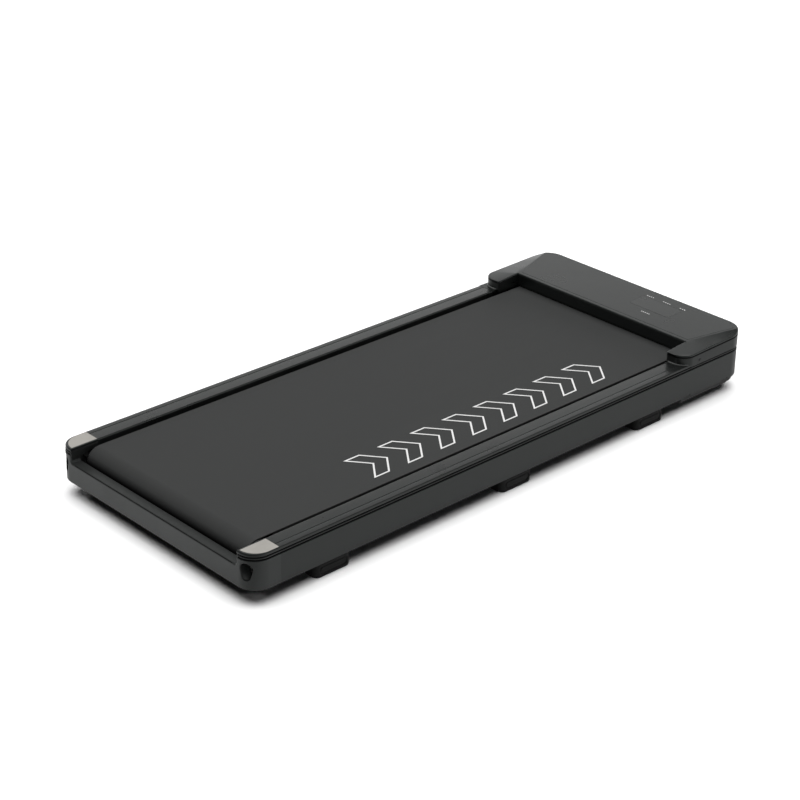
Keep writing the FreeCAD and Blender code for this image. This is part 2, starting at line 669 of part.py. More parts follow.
# Power parts share one sunk panel in the tray's front wall
socket_floor = front - size.socket_panel_depth
socket_middle = size.wall_bottom + size.socket_rise
socket_panel_middle = half_width - size.socket_panel_inset
socket_left = socket_panel_middle - size.socket_panel_width / 2
socket_right = socket_panel_middle + size.socket_panel_width / 2
socket_bottom = socket_middle - size.socket_panel_height / 2
socket_top = socket_middle + size.socket_panel_height / 2
flange_front = socket_floor + size.flange_thickness
inlet_x = socket_right - size.inlet_inset
inlet_half_width = size.inlet_width / 2
inlet_half_height = size.inlet_height / 2
switch_half_width = size.switch_width / 2
switch_half_height = size.switch_height / 2
rocker_pivot = socket_floor - size.rocker_sink
breaker_x = socket_left + size.breaker_inset
breaker_radius = size.breaker_diameter / 2
switch_x = (breaker_x + breaker_radius + size.flange_width
            + inlet_x - inlet_half_width - size.inlet_flange) / 2

# Controller board over the motor plate, right of the middle
control_left = size.control_offset
control_right = control_left + size.control_length
control_rear = front - size.control_inset
control_front = control_rear + size.control_depth

# Repeated pieces: which side, and where along the machine
SIDES = (("left", -1), ("right", 1))
FOOT_PLACES = (("rear", rear + size.rear_foot_inset), ("middle", -size.middle_foot_back),
               ("front", front - size.front_foot_inset))
TUBE_COUNT = 4
tube_first = deck_rear + size.tube_rear_inset
tube_last = deck_front - size.tube_front_inset
TUBE_PLACES = [tube_first + (tube_last - tube_first) * k / (TUBE_COUNT - 1) for k in range(TUBE_COUNT)]
COVER_SCREWS = [(x, front - inset) for x in (-size.cover_screw_left, half_width - size.cover_screw_right)
                for inset in (size.cover_screw_front, size.cover_screw_rear)]


def mirrored(side, corners):
    """Corners of a right-hand outline moved to the named side."""
    return Outline(*[(corner[0] * side,) + tuple(corner[1:]) for corner in corners])


def side_cover(name, side):
    """Wall along one side, with a beaded neck for the shadow gap and a shelf for the foot rail."""
    lip_edge = wall_inside - size.cover_lip
    skirt_room = opening + size.rail_skirt + size.rail_fit
    piece = Piece(f"{name}_side_cover")
    piece.add("XZ", cap_seam, tray_seam, mirrored(side, [
        (half_width, size.wall_bottom), (half_width, size.wall_top), (neck, size.wall_top),
        (neck, bead_bottom), (bead, bead_bottom), (bead, bead_top), (neck, bead_top),
        (neck, rail_seat), (skirt_room, rail_seat), (skirt_room, shelf), (neck_inside, shelf),
        (neck_inside, shoulder), (wall_inside, shoulder), (wall_inside, lip_top),
        (lip_edge, lip_top), (lip_edge, size.wall_bottom)]))


def foot_rail(name, side):
    """Top rail to stand on, with a grip groove and a skirt that hides the belt's edge."""
    outer = half_width - size.rail_setback
    groove = half_width - size.rail_groove_inset
    groove_end = groove + size.rail_groove_width
    groove_floor = rail_top - size.rail_groove_depth
    skirt = opening + size.rail_skirt
    skirt_bottom = rail_seat - size.rail_skirt_drop
    edge = size.rail_edge
    piece = Piece(f"{name}_foot_rail")
    piece.add("XZ", cap_seam, rail_front, mirrored(side, [
        (opening, skirt_bottom), (opening, rail_top - edge), (opening + edge, rail_top),
        (groove, rail_top), (groove, groove_floor), (groove_end, groove_floor),
        (groove_end, rail_top), (outer - edge, rail_top), (outer, rail_top - edge),
        (outer, rail_seat), (skirt, rail_seat), (skirt, skirt_bottom)]))


def frame_beam(name, side):
    """Steel box beam, closed at the rear, with a slot for the rear axle."""
    wall = size.beam_wall
    travel = size.tension_travel / 2
    slot_radius = axle_radius + size.fit_gap
    piece = Piece(f"{name}_frame_beam")
    piece.add("XZ", beam_rear, beam_front, mirrored(side, [
        (beam_inside, size.beam_bottom), (beam_outside, size.beam_bottom),
        (beam_outside, shelf), (beam_inside, shelf)]))
    piece.cut("XZ", beam_rear + size.beam_end, beam_front, mirrored(side, [
        (beam_inside + wall, size.beam_bottom + wall), (beam_outside - wall, size.beam_bottom + wall),
        (beam_outside - wall, shelf - wall), (beam_inside + wall, shelf - wall)]))
    piece.cut("YZ", -half_width, half_width, Loop(
        (rear_roller - travel, roller_height, slot_radius),
        (rear_roller + travel, roller_height, slot_radius)))
    piece.cut("XZ", beam_rear, beam_rear + size.beam_end,
              Circle(beam_middle * side, roller_height, bolt_hole))
    piece.cut("XY", size.beam_bottom, size.beam_bottom + wall, *[
        Circle(beam_middle * side, place, screw_hole) for _, place in FOOT_PLACES])


def rear_end_cap():
    """Moulding across the rear: two hollow corners joined by a low bar."""
    wall = size.cap_wall
    inner = opening + wall
    outer_inside = half_width - wall
    piece = Piece("rear_end_cap")
    piece.add("XY", size.wall_bottom, size.wall_top, Outline(
        (-half_width, rear, size.rear_corner_radius), (half_width, rear, size.rear_corner_radius),
        (half_width, cap_seam), (-half_width, cap_seam)))
    for low, high, inset in ((size.wall_top, rail_seat, size.reveal_depth),
                             (bead_bottom, bead_top, size.bead_setback)):
        edge = half_width - inset
        end = rear + inset
        corner = size.rear_corner_radius - inset
        piece.add("XY", low, high, Outline(
            (-edge, end, corner), (edge, end, corner), (edge, cap_seam), (-edge, cap_seam)))
    piece.cut("XZ", rear, cap_seam, box(-opening, opening, size.rear_bar_top, rail_top))
    piece.cut("XY", size.wall_bottom, rail_top, box(-opening, opening, bar_front, cap_seam))
    piece.cut("XY", size.wall_bottom, size.rear_bar_top - wall,
              box(-opening + wall, opening - wall, rear + wall, bar_front - wall))
    hollow_round = outer_inside - inner - size.cap_hollow_flat
    corner_hollow = [(inner, cap_seam), (inner, rear + wall),
                     (outer_inside, rear + wall, hollow_round), (outer_inside, cap_seam)]
    piece.cut("XY", size.wall_bottom, shelf, mirrored(1, corner_hollow), mirrored(-1, corner_hollow))
    axle_room = rear_roller - size.tension_travel / 2 - axle_radius - size.axle_room
    skirt_bottom = rail_seat - size.rail_skirt_drop
    piece.cut("XY", size.wall_bottom, skirt_bottom,
              box(opening - overrun, inner + overrun, axle_room, cap_seam),
              box(-inner - overrun, -opening + overrun, axle_room, cap_seam))
    crown = size.access_width / 2
    foot_round = size.access_foot / 2
    reach = size.access_height / 2
    piece.cut("XZ", rear, beam_rear, *[
        Loop((beam_middle * side, roller_height - reach + foot_round, foot_round),
             (beam_middle * side, roller_height + reach - crown, crown)) for _, side in SIDES])
    piece.round(lambda edge: lies_at(edge, "z", size.rear_bar_top)
                and (lies_at(edge, "x", opening) or lies_at(edge, "x", -opening)), size.bar_end_round)
    piece.round(lambda edge: lies_at(edge, "y", rear) and lies_at(edge, "z", size.rear_bar_top),
                size.rear_bar_round)


def rail_end_cap(name, side):
    """Rounded top piece that ends a foot rail over a rear corner."""
    outer = half_width - size.rail_setback
    end = rear + size.rail_setback
    corner = size.rear_corner_radius - size.rail_edge
    piece = Piece(f"{name}_rail_end_cap")
    piece.add("XY", rail_seat, rail_top, mirrored(side, [
        (opening, cap_seam), (opening, end), (outer, end, corner), (outer, cap_seam)]))
    piece.bevel(lambda edge: lies_at(edge, "z", rail_top) and not lies_at(edge, "y", cap_seam)
                and not lies_at(edge, "x", opening * side), size.rail_edge)


def tray_outline(inset, back):
    """Plan of the front housing set in from its outer face, square at the back."""
    edge = half_width - inset
    end = front - inset
    corner = size.corner_radius - inset
    return Outline((-edge, back), (edge, back), (edge, end, corner), (-edge, end, corner))


def front_tray():
    """Lower front housing: walls, neck, an inward lip, and a sunk panel for the power parts."""
    thick = size.wall_thickness
    behind = tray_seam - overrun
    piece = Piece("front_tray")
    piece.add("XY", size.wall_bottom, size.wall_top, tray_outline(as_size(0), tray_seam))
    piece.add("XY", size.wall_top, rail_seat, tray_outline(size.reveal_depth, tray_seam))
    piece.add("XY", bead_bottom, bead_top, tray_outline(size.bead_setback, tray_seam))
    piece.cut("XY", shoulder, rail_seat, tray_outline(size.reveal_depth + thick, behind))
    piece.cut("XY", lip_top, shoulder, tray_outline(thick, behind))
    piece.cut("XY", size.wall_bottom, lip_top, tray_outline(thick + size.lip_width, behind))
    piece.cut("YZ", -half_width, half_width, *[
        box(front - inset - size.notch_length, front - inset, size.wall_bottom, lip_top + size.notch_rise)
        for inset in (size.front_notch, size.rear_notch)])
    left, right = socket_left, socket_right
    bottom, top = socket_bottom, socket_top
    piece.add("XZ", socket_floor - thick, front - thick,
              box(left - thick, right + thick, bottom - thick, top + thick))
    piece.cut("XZ", socket_floor, front, box(left, right, bottom, top, size.socket_corner))
    piece.cut("XZ", socket_floor - thick, socket_floor,
              box(inlet_x - inlet_half_width, inlet_x + inlet_half_width,
                  socket_middle - inlet_half_height, socket_middle + inlet_half_height),
              box(switch_x - switch_half_width, switch_x + switch_half_width,
                  socket_middle - switch_half_height, socket_middle + switch_half_height),
              Circle(breaker_x, socket_middle, breaker_radius))


def bottom_cover():
    """Shallow pan under the motor bay, with wells that the transport wheels stand in."""
    behind = tray_seam + size.pan_gap
    hollow = size.pan_inset + size.pan_rim
    piece = Piece("bottom_cover")
    piece.add("XY", size.pan_bottom, size.wall_bottom, tray_outline(size.pan_inset, behind))
    piece.bevel(lambda edge: lies_at(edge, "z", size.pan_bottom), size.pan_bevel)
    piece.cut("XY", size.pan_bottom + size.pan_thickness, size.wall_bottom,
              tray_outline(hollow, behind + size.pan_rim))
    piece.cut("XY", size.pan_bottom, size.pan_bottom + size.pan_thickness,
              *[wheel_window(side) for _, side in SIDES])
    floor = size.pan_bottom + size.pan_thickness
    piece.add("XY", floor, lip_top, *[Circle(x, y, size.boss_diameter / 2) for x, y in COVER_SCREWS])
    piece.cut("XY", size.pan_bottom, lip_top, *[Circle(x, y, cover_screw_hole) for x, y in COVER_SCREWS])
    well = size.cover_screw_head / 2 + size.fit_gap
    piece.cut("XY", size.pan_bottom, size.pan_bottom + size.cover_screw_sink,
              *[Circle(x, y, well) for x, y in COVER_SCREWS])


def wheel_window(side):
    """Plan of the hole that a transport wheel passes through."""
    across = size.wheel_width / 2 + size.wheel_side_room
    along = size.wheel_diameter / 2 + size.wheel_well
    middle = wheel_middle * side
    return box(middle - across, middle + across, wheel_axis - along, wheel_axis + along)


def hood_plan(face, inset):
    """Plan of the hood with its two arms, set in; the edge between the arms lies at the given place."""
    corner = size.corner_radius - inset
    arm_corner = size.arm_round - inset
    tip_round = size.arm_tip_round - inset
    edge = half_width - inset
    end = front - inset
    tip = tray_seam + inset
    inner = arm_inside + inset
    return Outline(
        (-edge, end, corner), (-edge, tip, arm_corner), (-inner, tip, tip_round), (-inner, face),
        (inner, face), (inner, tip, tip_round), (edge, tip, arm_corner), (edge, end, corner))


def seam_at(place):
    """Height of the seam between hood base and hood cover."""
    rise = (seam_front - seam_rear) / (front - tray_seam)
    return seam_rear + rise * (place - tray_seam)


def hood_base():
    """Band under the hood cover: walls round the front and the two arms, on a thin plinth.

    Its outer edge stops short of the cover, which leaves a shadow line.
    """
    thick = size.wall_thickness
    ledge = size.plinth_margin
    piece = Piece("hood_base")
    above = hood_front_top + overrun
    for inset, drop in ((as_size(0), size.seam_height), (size.seam_depth, as_size(0))):
        piece.add("XY", rail_seat, hood_front_top, hood_plan(hood_face_inside, inset))
        piece.cut("YZ", -half_width, half_width, Outline(
            (tray_seam, seam_at(tray_seam) - drop), (front, seam_at(front) - drop),
            (front, above), (tray_seam, above)))
    inside = half_width - thick
    ledge_outside = half_width - size.rail_setback
    ledge_inside = arm_inside + size.plinth_setback
    piece.cut("XY", rail_seat, above, Outline(
        (-inside, hood_face_inside), (inside, hood_face_inside),
        (inside, front - thick, size.corner_radius - thick),
        (-inside, front - thick, size.corner_radius - thick)))
    for _, side in SIDES:
        piece.cut("XY", rail_seat, above, mirrored(side, [
            (arm_inside + thick, hood_face_inside), (arm_inside + thick, tray_seam + thick),
            (inside, tray_seam + thick, size.arm_round - thick), (inside, hood_face_inside)]))
        piece.add("XY", rail_seat, rail_top, mirrored(side, [
            (opening, hood_face_inside), (opening, rail_front),
            (ledge_outside, rail_front), (ledge_outside, hood_face_inside)]))
        piece.add("XY", rail_top, rail_top + ledge, mirrored(side, [
            (ledge_inside, hood_face_inside), (ledge_inside, tray_seam - ledge, size.arm_tip_round),
            (ledge_outside, tray_seam - ledge, size.arm_round), (ledge_outside, hood_face_inside)]))
    belt_room = size.roller_pulley / 2 + size.drive_belt_thickness + size.plinth_belt_room
    piece.cut("YZ", -pulley_outside - overrun, -roller_half + overrun,
              Circle(front_roller, roller_height, belt_room))
    for low, high in ((hood_screw_seat, half_width), (-half_width, -hood_screw_seat)):
        piece.cut("YZ", low, high,
                  Circle(hood_screw_y, hood_screw_z, size.hood_screw_head / 2 + size.fit_gap))
    piece.cut("YZ", -half_width, half_width,
              Circle(hood_screw_y, hood_screw_z, size.hood_screw_diameter / 2 + size.fit_gap))


def hood_section(flat, top, edge):
    """Cross-section of the hood's top: a level middle and two falling shoulders."""
    base = hood_face_foot
    return Outline((-half_width, base), (half_width, base), (half_width, edge),
                   (flat, top), (-flat, top), (-half_width, edge))


def hood_cover():
    """Top of the hood: gently rising middle, twisted shoulders, arms and a dropped rear face."""
    envelope = Piece("hood_envelope", node=False)
    edge = size.hood_edge
    crease_rear = arm_inside
    crease_front = half_width - size.hood_crease_front
    envelope.loft([
        (tray_seam - overrun, hood_section(crease_rear, hood_arm_top, seam_at(tray_seam) + edge)),
        (hood_face, hood_section(crease_rear, hood_rear_top, seam_at(hood_face) + edge)),
        (front + overrun, hood_section(crease_front, hood_front_top, seam_at(front) + edge))])
    piece = Piece("hood_cover")
    base = hood_face_foot
    above = hood_front_top + overrun
    piece.add("XY", base, above, hood_plan(hood_face, as_size(0)))
    piece.keep_inside(envelope)
    below = base - overrun
    piece.cut("YZ", -half_width, half_width, Outline(
        (hood_face_inside, below), (front + overrun, below), (front + overrun, seam_at(front + overrun)),
        (hood_face_inside, seam_at(hood_face_inside))))
    arm_end = tray_seam - overrun
    for low, high in ((arm_inside, half_width), (-half_width, -arm_inside)):
        piece.cut("YZ", low, high, Outline(
            (arm_end, below), (hood_face_inside, below),
            (hood_face_inside, seam_at(hood_face_inside)), (arm_end, seam_at(arm_end))))
    piece.round(lambda edge: lies_at(edge, "y", hood_face) and lies_at(edge, "z", hood_rear_top),
                size.hood_face_round)
    piece.cut("TOP", -size.panel_recess, size.panel_recess, panel_plan(as_size(0)))
    piece.cut("TOP", -size.window_depth, size.panel_recess, lens_plan(-size.window_margin))


def panel_plan(inset):
    """Outline of the control panel on the hood's top, set in from its pocket."""
    spread = (half_width - size.hood_crease_front - arm_inside) / size.hood_depth
    rear_edge = size.panel_margin + inset
    front_edge = size.hood_depth - size.panel_margin - inset
    narrow = arm_inside - size.panel_side - inset
    rear_half = narrow + spread * rear_edge
    front_half = narrow + spread * front_edge
    corner = size.panel_corner - inset
    rear_corner = size.panel_rear_corner
    return Outline((-rear_half, rear_edge, rear_corner), (rear_half, rear_edge, rear_corner),
                   (front_half, front_edge, corner), (-front_half, front_edge, corner))


def lens_plan(grow):
    """Outline of the display lens on the hood's top."""
    half = size.display_width / 2 + grow
    middle = size.display_offset
    return box(middle - half, middle + half, size.display_rear - grow,
               size.display_rear + size.display_depth + grow, size.display_corner)


def control_panel():
    """Thin panel let into the hood's top, with an opening for the display lens."""
    piece = Piece("control_panel")
    low, high = -size.panel_recess, size.panel_thickness - size.panel_recess
    piece.add("TOP", low, high, panel_plan(size.panel_gap))
    piece.cut("TOP", low, high, lens_plan(size.panel_gap / 2))
    lens = Piece("display_lens")
    lens.add("TOP", low, high + size.lens_proud, lens_plan(as_size(0)))
    board = Piece("display_board")
    board_top = size.display_board_lift - size.cover_front_depth
    board.add("TOP", board_top - size.board_thickness, board_top, lens_plan(size.display_board_margin))


def running_belt():
    """Endless belt round both rollers."""
    piece = Piece("running_belt")
    half = opening - size.belt_side_gap
    outer = loop_radius + size.belt_thickness
    piece.add("YZ", -half, half,
              Loop((rear_roller, roller_height, outer), (front_roller, roller_height, outer)),
              Loop((rear_roller, roller_height, loop_radius), (front_roller, roller_height, loop_radius)))


def deck_places():
    """Plan places of the deck screws and cushions."""
    across = deck_half - size.cushion_inset
    return [(across * side, place) for place in TUBE_PLACES for _, side in SIDES]


def deck_group():
    """Deck board on rubber cushions, screwed down to the cross tubes."""
    head_seat = deck_top - size.screw_head_height
    deck = Piece("deck_board")
    deck.add("XY", deck_bottom, deck_top, box(-deck_half, deck_half, deck_rear, deck_front))
    deck.cut("XY", deck_bottom, deck_top, *[Circle(x, y, screw_hole) for x, y in deck_places()])
    deck.cut("XY", head_seat, deck_top, *[Circle(x, y, screw_well) for x, y in deck_places()])
    deck.round(lambda edge: lies_at(edge, "z", deck_top)
               and (lies_at(edge, "y", deck_rear) or lies_at(edge, "y", deck_front)), size.deck_edge)

    cushions = Piece("deck_cushions")
    cushions.add("XY", tube_top, deck_bottom,
                 *[Circle(x, y, size.cushion_diameter / 2) for x, y in deck_places()],
                 *[Circle(x, y, screw_hole) for x, y in deck_places()])

    screws = Piece("deck_screws")
    tip = tube_top - size.deck_screw_reach
    head_top = deck_top - size.deck_screw_sink
    screws.add("XY", tip, head_seat, *[Circle(x, y, size.screw_diameter / 2) for x, y in deck_places()])
    screws.add("XY", head_seat, head_top, *[Circle(x, y, size.screw_head / 2) for x, y in deck_places()])

    tubes = Piece("cross_tubes")
    wall = size.tube_wall
    reach = size.tube_depth / 2
    tubes.add("YZ", -beam_inside, beam_inside,
              *[box(y - reach, y + reach, tube_bottom, tube_top) for y in TUBE_PLACES],
              *[box(y - reach + wall, y + reach - wall, tube_bottom + wall, tube_top - wall)
                for y in TUBE_PLACES])
    tubes.cut("XY", tube_top - wall, tube_top, *[Circle(x, y, screw_hole) for x, y in deck_places()])


def roller(name, place):
    """Steel tube of one roller."""
    piece = Piece(f"{name}_roller")
    piece.add("YZ", -roller_half, roller_half, Circle(place, roller_height, roller_radius),
              Circle(place, roller_height, roller_radius - size.roller_wall))


def roller_axle(name, place, half):
    """Fixed axle of one roller."""
    piece = Piece(f"{name}_axle")
    piece.add("YZ", -half, half, Circle(place, roller_height, axle_radius))
    return piece


def roller_bearings(name, place, outer_end):
    """Two bearings between a roller and its axle."""
    piece = Piece(f"{name}_bearings")
    inner_end = outer_end - size.bearing_width
    for low, high in ((inner_end, outer_end), (-outer_end, -inner_end)):
        piece.add("YZ", low, high,
                  Circle(place, roller_height, roller_radius - size.roller_wall - size.bearing_play),
                  Circle(place, roller_height, axle_radius + size.bearing_play))


GROOVE_COUNT = 5


def ribbed_profile(radius, bore, spigot=None, spigot_length=None):
    """Half-section (along X, outward) of a pulley with V grooves, and a spigot towards the middle."""
    inner_end = -roller_half
    outer_end = -pulley_outside
    corners = [(outer_end, bore), (outer_end, radius)]
    start = outer_end + (size.pulley_width - size.rib_pitch * GROOVE_COUNT) / 2
    for k in range(GROOVE_COUNT):
        groove_start = start + size.rib_pitch * k
        middle = groove_start + size.rib_pitch / 2
        corners += [(groove_start + size.rib_land, radius), (middle, radius - size.rib_depth),
                    (groove_start + size.rib_pitch - size.rib_land, radius)]
    corners.append((inner_end, radius))
    if spigot is None:
        corners.append((inner_end, bore))
    else:
        corners += [(inner_end, spigot), (inner_end + spigot_length, spigot), (inner_end + spigot_length, bore)]
    return Outline(*corners)


def roller_group():
    """Both rollers with their axles, bearings, tension bolts and the driven pulley."""
    roller("front", front_roller)
    roller("rear", rear_roller)
    bracket_outside = beam_outside + size.bracket_thickness
    roller_axle("front", front_roller, bracket_outside)
    rear_axle = roller_axle("rear", rear_roller, beam_outside - size.axle_setback)
    rear_axle.cut("XZ", rear_roller - axle_radius, rear_roller + axle_radius,
                  *[Circle(beam_middle * side, roller_height, bolt_hole) for _, side in SIDES])
    bearing_end = roller_half - size.bearing_setback
    roller_bearings("front", front_roller, bearing_end - size.spigot_length)
    roller_bearings("rear", rear_roller, bearing_end)
    pulley = Piece("roller_pulley")
    pulley.turn("XY", "X", ribbed_profile(
        size.roller_pulley / 2, axle_radius + size.pulley_play,
        roller_radius - size.roller_wall - size.bearing_play, size.spigot_length))
    pulley.place(0, front_roller, roller_height)
    for name, side in SIDES:
        tension_bolt(name, side)


def tension_bolt(name, side):
    """Socket-head bolt that pulls one end of the rear axle back."""
    head = size.bolt_head / 2
    shank = size.bolt_diameter / 2
    piece = Piece(f"{name}_tension_bolt")
    piece.turn("XY", "Y", Outline(
        (0, -size.bolt_head_height), (head, -size.bolt_head_height), (head, 0), (shank, 0),
        (shank, size.bolt_length), (0, size.bolt_length)))
    reach = size.bolt_key / math.sqrt(3)
    piece.cut("XZ", -size.bolt_head_height, -size.bolt_head_height / 2, Outline(
        *[(reach * math.cos(math.radians(60 * k)), reach * math.sin(math.radians(60 * k)))
          for k in range(6)]))
    piece.place(beam_middle * side, beam_rear, roller_height)


def motor_group():
    """Motor across the front bay, its mount, pulley, fan and the ribbed belt to the front roller."""
    pulley_end = -motor_end
    fan_end = pulley_end + size.motor_length
    can = size.motor_diameter / 2
    bell = size.bell_diameter / 2
    shaft = size.shaft_diameter / 2
    bore = shaft + size.fit_gap
    body = Piece("motor_can")
    body.turn("XY", "X", Outline(
        (pulley_end - size.bell_length, bore), (pulley_end - size.bell_length, bell), (pulley_end, bell),
        (pulley_end, can), (fan_end, can), (fan_end, bell), (fan_end + size.bell_length, bell),
        (fan_end + size.bell_length, bore)))
    body.place(0, motor_axis, size.motor_height)

    fan_start = fan_end + size.bell_length + size.fan_gap
    rod = Piece("motor_shaft")
    rod.add("YZ", -pulley_outside - size.shaft_past, fan_start + size.fan_width + size.shaft_past,
            Circle(motor_axis, size.motor_height, shaft))
    pulley = Piece("motor_pulley")
    pulley.turn("XY", "X", ribbed_profile(size.motor_pulley / 2, shaft + size.bearing_play))
    pulley.place(0, motor_axis, size.motor_height)

    fan = Piece("motor_fan")
    tip = size.fan_diameter / 2
    disc_end = fan_start + size.fan_disc
    fan_bore = Circle(0, 0, shaft + size.bearing_play)
    fan.add("YZ", fan_start, disc_end, Circle(0, 0, tip), fan_bore)
    fan.add("YZ", disc_end, fan_start + size.fan_width,
            *[fan_blade(tip, k * 360 / BLADE_COUNT) for k in range(BLADE_COUNT)])
    fan.add("YZ", disc_end, fan_start + size.fan_width, Circle(0, 0, shaft + size.fan_hub), fan_bore)
    fan.place(0, motor_axis, size.motor_height)
    motor_mount(can)

    belt = Piece("drive_belt")
    middle = -roller_half - size.pulley_width / 2
    reach = size.drive_belt_width / 2
    inner = (size.roller_pulley / 2 + size.fit_gap, size.motor_pulley / 2 + size.fit_gap)
    outer = (inner[0] + size.drive_belt_thickness, inner[1] + size.drive_belt_thickness)
    belt.add("YZ", middle - reach, middle + reach, *[
        Loop((front_roller, roller_height, large), (motor_axis, size.motor_height, small))
        for large, small in (outer, inner)])


BLADE_COUNT = 9


def fan_blade(tip, degrees):
    """One radial blade of the motor fan."""
    along = (math.cos(math.radians(degrees)), math.sin(math.radians(degrees)))
    across = (-along[1], along[0])
    root = size.fan_diameter / 5
    end = tip - size.blade_setback
    half = size.blade_width / 2
    return Outline(*[(reach * along[0] + side * across[0], reach * along[1] + side * across[1])
                     for reach, side in ((root, -half), (end, -half), (end, half), (root, half))])


def motor_mount(can):
    """Two saddles under the motor, each with a strap over the top."""
    strap = size.strap_thickness
    seat = can + size.strap_play
    middle = size.motor_length / 2 - motor_end
    outside = seat + strap
    clear = outside + overrun
    piece = Piece("motor_mount")
    for side in (-1, 1):
        low = middle + side * size.motor_length / 4 - size.strap_width / 2
        high = low + size.strap_width
        piece.add("YZ", low, high, Circle(motor_axis, size.motor_height, outside))
        piece.cut("YZ", low, high, box(motor_axis - clear, motor_axis + clear,
                                       size.motor_height - clear, size.motor_height))
        piece.add("YZ", low, high, box(motor_axis - outside, motor_axis + outside,
                                       plate_top, size.motor_height))
        piece.cut("YZ", low, high, Circle(motor_axis, size.motor_height, seat))


def front_frame():
    """Brackets that carry the front axle, and the plate across them under the motor."""
    brackets = Piece("front_brackets")
    start = beam_front - size.bracket_overlap
    end = front - size.bracket_inset
    top = shoulder - size.bracket_room
    bevel = size.bracket_bevel
    nose = size.bracket_nose
    profile = Outline((start, lip_top + bevel), (start + bevel, lip_top), (end, lip_top),
                      (end, lip_top + nose), (end - nose, top),
                      (start + bevel, top), (start, top - bevel))
    bracket_outside = beam_outside + size.bracket_thickness
    hole = Circle(front_roller, roller_height, axle_radius + size.bearing_play)
    for low, high in ((beam_outside, bracket_outside), (-bracket_outside, -beam_outside)):
        brackets.add("YZ", low, high, profile, hole)

    plate = Piece("motor_plate")
    plate_rear = front - size.plate_rear_inset
    plate_front = front - size.plate_front_inset
    corner = size.plate_corner
    plate.add("XY", lip_top, plate_top, Outline(
        (-beam_outside, plate_rear), (beam_outside, plate_rear),
        (beam_outside, plate_front, corner), (-beam_outside, plate_front, corner)),
        *[wheel_window(side) for _, side in SIDES],
        *[Circle(x, y, cover_screw_hole) for x, y in COVER_SCREWS])
    plate.add("XY", plate_top, size.control_height, *[
        Circle(x, y, size.pillar_diameter / 2)
        for x in (control_left + size.pillar_inset, control_right - size.pillar_inset)
        for y in (control_rear + size.pillar_inset, control_front - size.pillar_inset)])


FIN_COUNT = 6


def controller_group():
    """Motor controller: board, finned heat sink and capacitors."""
    board_top = size.control_height + size.board_thickness
    board = Piece("controller_board")
    board.add("XY", size.control_height, board_top,
              box(control_left, control_right, control_rear, control_front))
    sink = Piece("heat_sink")
    sink_left = control_left + size.sink_inset
    sink_top = board_top + size.sink_height
    pitch = size.fin_pitch
    fin = size.fin_thickness
    sink.add("XY", board_top, sink_top,
             box(sink_left, sink_left + pitch * (FIN_COUNT - 1) + fin,
                 control_rear + size.sink_margin, control_front - size.sink_margin))
    sink.cut("XZ", control_rear, control_front, *[
        box(sink_left + pitch * k + fin, sink_left + pitch * (k + 1),
            board_top + size.sink_base, sink_top + overrun) for k in range(FIN_COUNT - 1)])
    cans = Piece("capacitors")
    row = size.capacitor_pitch
    depth = size.control_depth
    cans.add("XY", board_top, board_top + size.capacitor_height, *[
        Circle(control_right - back, control_rear + along, size.capacitor_diameter / 2)
        for back, along in ((row * 2, depth / 4), (row * 2, depth * 3 / 4), (row, depth / 2))])


